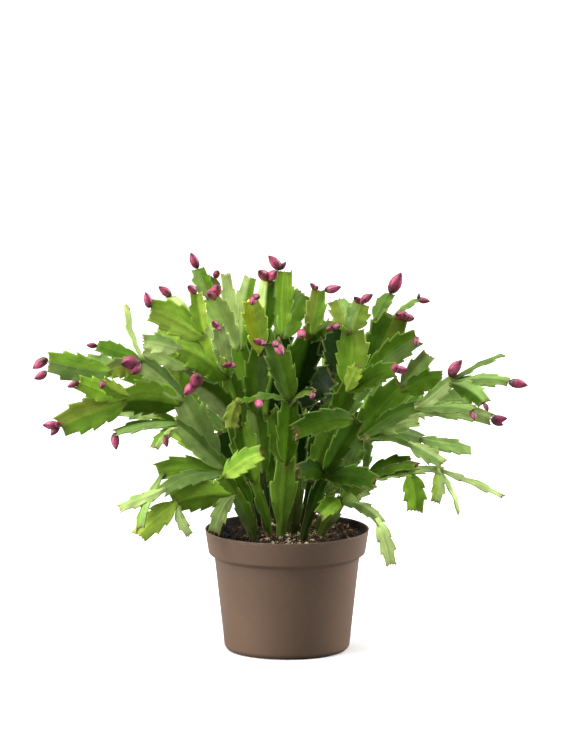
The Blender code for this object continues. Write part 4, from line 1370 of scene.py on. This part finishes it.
def rounded_profile(corners, steps=4):
    """A profile of (radius, height, rounding) corners, each rounded by a short curve of points."""
    made = []
    for k, (r, z, rounding) in enumerate(corners):
        here = Vector((r, z))
        if rounding <= 0 or k in (0, len(corners) - 1):
            made.append(here)
            continue
        before = Vector(corners[k - 1][:2]) - here
        after = Vector(corners[k + 1][:2]) - here
        reach = min(rounding, before.length * 0.45, after.length * 0.45)
        a, b = here + before.normalized() * reach, here + after.normalized() * reach
        for i in range(steps + 1):
            t = i / steps
            made.append(a * (1 - t) ** 2 + here * 2 * t * (1 - t) + b * t**2)
    return made


def pot_profile(s):
    """The pot's outline, down the outside, under the foot and up the inside, in millimetres."""
    wall = s.wall / MM
    rim, height = s.rim_radius / MM, s.height / MM
    band, foot_of_band = s.band_radius / MM, (s.height - s.band_height) / MM
    shoulder, drop, foot = s.shoulder_radius / MM, s.shoulder_drop / MM, s.foot_radius / MM
    outside = [
        (rim - wall * 0.5, height, 0),
        (rim, height, 0.5),
        (rim - 0.35, height - 1.6, 0.5),
        (band, foot_of_band, 0.7),
        (shoulder, foot_of_band - drop, 0.8),
        (foot, 2.5, 1.6),
        (foot - 2.5, 0, 0.6),
        (foot - 4.5, 0, 0.4),
        (foot - 5.2, 0.35, 0.3),
        (0, 0.35, 0),
    ]
    inside = [
        (0, wall + 0.3, 0),
        (foot - 3.4, wall + 0.3, 1.0),
        (foot - wall, 3.2, 1.0),
        (shoulder - wall, foot_of_band - drop, 0.6),
        (band - wall, foot_of_band, 0.6),
        (rim - wall, height - 0.2, 0.3),
        (rim - wall * 0.5, height, 0),
    ]
    return rounded_profile(outside) + rounded_profile(inside)[:-1]


def turned_pot(settings):
    """The pot's shell, turned from its profile."""
    bm = bmesh.new()
    verts = [bm.verts.new((p.x * MM, 0, p.y * MM)) for p in pot_profile(settings)]
    edges = [bm.edges.new(pair) for pair in zip(verts, verts[1:] + verts[:1])]
    turn = {"cent": (0, 0, 0), "axis": (0, 0, 1), "angle": math.tau, "steps": settings.steps}
    bmesh.ops.spin(bm, geom=verts + edges, use_merge=True, **turn)
    bmesh.ops.remove_doubles(bm, verts=bm.verts, dist=0.000002)
    bmesh.ops.dissolve_degenerate(bm, edges=bm.edges, dist=0.000002)
    bmesh.ops.recalc_face_normals(bm, faces=bm.faces)
    return linked("pot_shell", mesh_of(bm, "pot_shell"))


def drain_cutter():
    """A cylinder through the pot's floor for each drain hole."""
    bm = bmesh.new()
    size = {"segments": 32, "radius1": DRAIN_RADIUS, "radius2": DRAIN_RADIUS, "depth": DRAIN_DEPTH}
    for i in range(DRAIN_HOLES):
        angle = math.tau * (i + 0.5) / DRAIN_HOLES
        place = Matrix.Translation((math.cos(angle) * DRAIN_RING, math.sin(angle) * DRAIN_RING, 0))
        bmesh.ops.create_cone(bm, cap_ends=True, matrix=place, **size)
    return linked("drain_cutters", mesh_of(bm, "drain_cutters"))


# Operators


class CACTUS_OT_pot(bpy.types.Operator):
    """Turns the pot from its profile and bores its drain holes"""

    bl_idname = "cactus.pot"
    bl_label = "Pot"
    settings = "cactus_pot"

    def execute(self, context):
        s = context.scene.cactus_pot
        pot, cutter = turned_pot(s), drain_cutter()
        modifier = pot.modifiers.new("Drain", "BOOLEAN")
        modifier.operation, modifier.solver, modifier.object = "DIFFERENCE", "EXACT", cutter
        graph = context.evaluated_depsgraph_get()
        bored = bpy.data.meshes.new_from_object(pot.evaluated_get(graph))
        pot.modifiers.clear()
        pot.data = bored
        bpy.data.objects.remove(cutter)
        bored.shade_smooth()
        bored.set_sharp_from_angle(angle=math.radians(35))
        finished(pot, plastic_material(s), "pot", "pot")
        return {"FINISHED"}


class CACTUS_OT_peat(bpy.types.Operator):
    """Fills the pot with a root ball of peat, lumpy on top"""

    bl_idname = "cactus.peat"
    bl_label = "Peat"
    settings = "cactus_soil"

    def execute(self, context):
        s, pot = context.scene.cactus_soil, context.scene.cactus_pot
        peat = mesh_piece("peat", *root_ball(s, pot), smooth_angle=60)
        finished(peat, peat_material("peat", s), "soil", "soil")
        return {"FINISHED"}


class CACTUS_OT_crumbs(bpy.types.Operator):
    """Scatters loose crumbs, bark and fibre over the peat"""

    bl_idname = "cactus.crumbs"
    bl_label = "Crumbs"
    settings = "cactus_soil"

    def execute(self, context):
        s = context.scene.cactus_soil
        base = mesh_piece("crumb_base", *peat_disc(CRUMB_REACH, CRUMB_RINGS, CRUMB_SPOKES, s))
        material = peat_material("peat_crumbs", s, crumb=True)
        tree = crumb_tree(material)
        values = {"Density": s.crumbs, "Crumb Size": s.crumb, "Seed": 11}
        crumbs = grown("crumbs", base, tree, values)
        finished(crumbs, material, "soil")
        return {"FINISHED"}


class CACTUS_OT_stems(bpy.types.Operator):
    """Makes the jointed stems, one piece to a cutting"""

    bl_idname = "cactus.stems"
    bl_label = "Stems"
    settings = "cactus_stem"

    def execute(self, context):
        s = context.scene.cactus_stem
        material = skin_material(s)
        for cutting in STEMS:
            make_stem(cutting, material, s)
        return {"FINISHED"}


class CACTUS_OT_areoles(bpy.types.Operator):
    """Sets felt and bristles in the notches and at the stems' ends"""

    bl_idname = "cactus.areoles"
    bl_label = "Areoles"
    settings = "cactus_areole"

    def execute(self, context):
        s = context.scene.cactus_areole
        material = felt_material(s)
        seats = areole_seats()
        base = mesh_piece(
            "areole_points",
            [place for place, aim, size in seats],
            [],
            (
                ("aim", "FLOAT_VECTOR", [tuple(aim.normalized()) for place, aim, size in seats]),
                ("size", "FLOAT", [size for place, aim, size in seats]),
            ),
        )
        tuft = bpy.data.objects.new("tuft", tuft_mesh(s))
        tree = tuft_tree(tuft, material)
        areoles = grown("areoles", base, tree, {"Seed": 5, "Least Size": 0.7, "Most Size": 1.3})
        bpy.data.objects.remove(tuft)
        finished(areoles, material, "stem")
        return {"FINISHED"}


class CACTUS_OT_buds(bpy.types.Operator):
    """Makes the flower buds, one piece to a cluster"""

    bl_idname = "cactus.buds"
    bl_label = "Buds"
    settings = "cactus_bud"

    def execute(self, context):
        s = context.scene.cactus_bud
        material = petal_material(s)
        for number, cluster in enumerate(BUDS, 1):
            make_buds(number, cluster, material, s)
        return {"FINISHED"}


class CACTUS_OT_stage(bpy.types.Operator):
    """Sets the floor, the soft lights and the camera"""

    bl_idname = "cactus.stage"
    bl_label = "Stage"
    settings = "cactus_stage"

    def execute(self, context):
        s = context.scene.cactus_stage
        scene = context.scene
        corners = ((-1, -1), (1, -1), (1, 1), (-1, 1))
        points = [(x * FLOOR_HALF, y * FLOOR_HALF, -FLOOR_DROP) for x, y in corners]
        floor = mesh_piece("floor", points, [(0, 1, 2, 3)])
        material, tools, shader = new_material("floor_paper", roughness=0.95, Specular_IOR_Level=0.0)
        seen = tools.add("ShaderNodeLightPath").outputs["Is Camera Ray"]
        tools.join(tools.mix(seen, BOUNCE_COLOUR, tuple(s.floor_colour)), shader["Base Color"])
        floor.data.materials.append(material)
        world = bpy.data.worlds.new("studio")
        world.use_nodes = True
        sky = world.node_tree.nodes["Background"]
        sky.inputs["Color"].default_value = (1, 1, 1, 1)
        sky.inputs["Strength"].default_value = WORLD_STRENGTH
        scene.world = world
        sun = bpy.data.lights.new("overhead", "SUN")
        sun.energy, sun.angle = OVERHEAD_STRENGTH, math.radians(OVERHEAD_SPREAD)
        linked("overhead", sun).rotation_euler = Vector(OVERHEAD_FROM).to_track_quat("Z", "Y").to_euler()
        aim = Vector((0, 0, AIM_HEIGHT))
        for name, place, size, power in LIGHTS:
            data = bpy.data.lights.new(name, "AREA")
            data.shape, data.size, data.energy = "SQUARE", size, power
            lamp = linked(name, data)
            lamp.location = place
            lamp.rotation_euler = (aim - Vector(place)).to_track_quat("-Z", "Y").to_euler()
        camera = linked("camera", bpy.data.cameras.new("camera"))
        back = Vector((0, -math.cos(s.elevation), math.sin(s.elevation)))
        up = Vector((0, math.sin(s.elevation), math.cos(s.elevation)))
        camera.location = RIGHT * s.aim_x + up * s.aim_up + back * s.distance
        camera.rotation_euler = (math.pi / 2 - s.elevation, 0, 0)
        camera.data.sensor_width = SENSOR
        camera.data.lens = SENSOR * s.distance / s.view_height
        camera.data.clip_start, camera.data.clip_end = 0.1, 200.0
        scene.camera = camera
        scene.view_settings.view_transform = "Standard"
        return {"FINISHED"}


class CACTUS_PT_panel(bpy.types.Panel):
    """Lists the pieces and their sizes"""

    bl_label = "Potted Cactus"
    bl_idname = "CACTUS_PT_panel"
    bl_space_type = "VIEW_3D"
    bl_region_type = "UI"
    bl_category = "Cactus"

    def draw(self, context):
        for operator in OPERATORS:
            box = self.layout.box()
            box.operator(operator.bl_idname)
            settings = getattr(context.scene, operator.settings)
            for key in settings.__class__.__annotations__:
                box.prop(settings, key)


OPERATORS = (
    CACTUS_OT_stage,
    CACTUS_OT_pot,
    CACTUS_OT_peat,
    CACTUS_OT_crumbs,
    CACTUS_OT_stems,
    CACTUS_OT_areoles,
    CACTUS_OT_buds,
)
GROUPS = {
    "cactus_pot": PotSettings,
    "cactus_soil": SoilSettings,
    "cactus_stem": StemSettings,
    "cactus_areole": AreoleSettings,
    "cactus_bud": BudSettings,
    "cactus_stage": StageSettings,
}
CLASSES = (*GROUPS.values(), *OPERATORS, CACTUS_PT_panel)


def register():
    for cls in CLASSES:
        bpy.utils.register_class(cls)
    for key, group in GROUPS.items():
        setattr(bpy.types.Scene, key, PointerProperty(type=group))


def unregister():
    for key in GROUPS:
        delattr(bpy.types.Scene, key)
    for cls in reversed(CLASSES):
        bpy.utils.unregister_class(cls)


def main():
    register()
    bpy.ops.cactus.stage()
    bpy.ops.cactus.pot()
    bpy.ops.cactus.peat()
    bpy.ops.cactus.crumbs()
    bpy.ops.cactus.stems()
    bpy.ops.cactus.areoles()
    bpy.ops.cactus.buds()


if __name__ == "__main__":
    main()
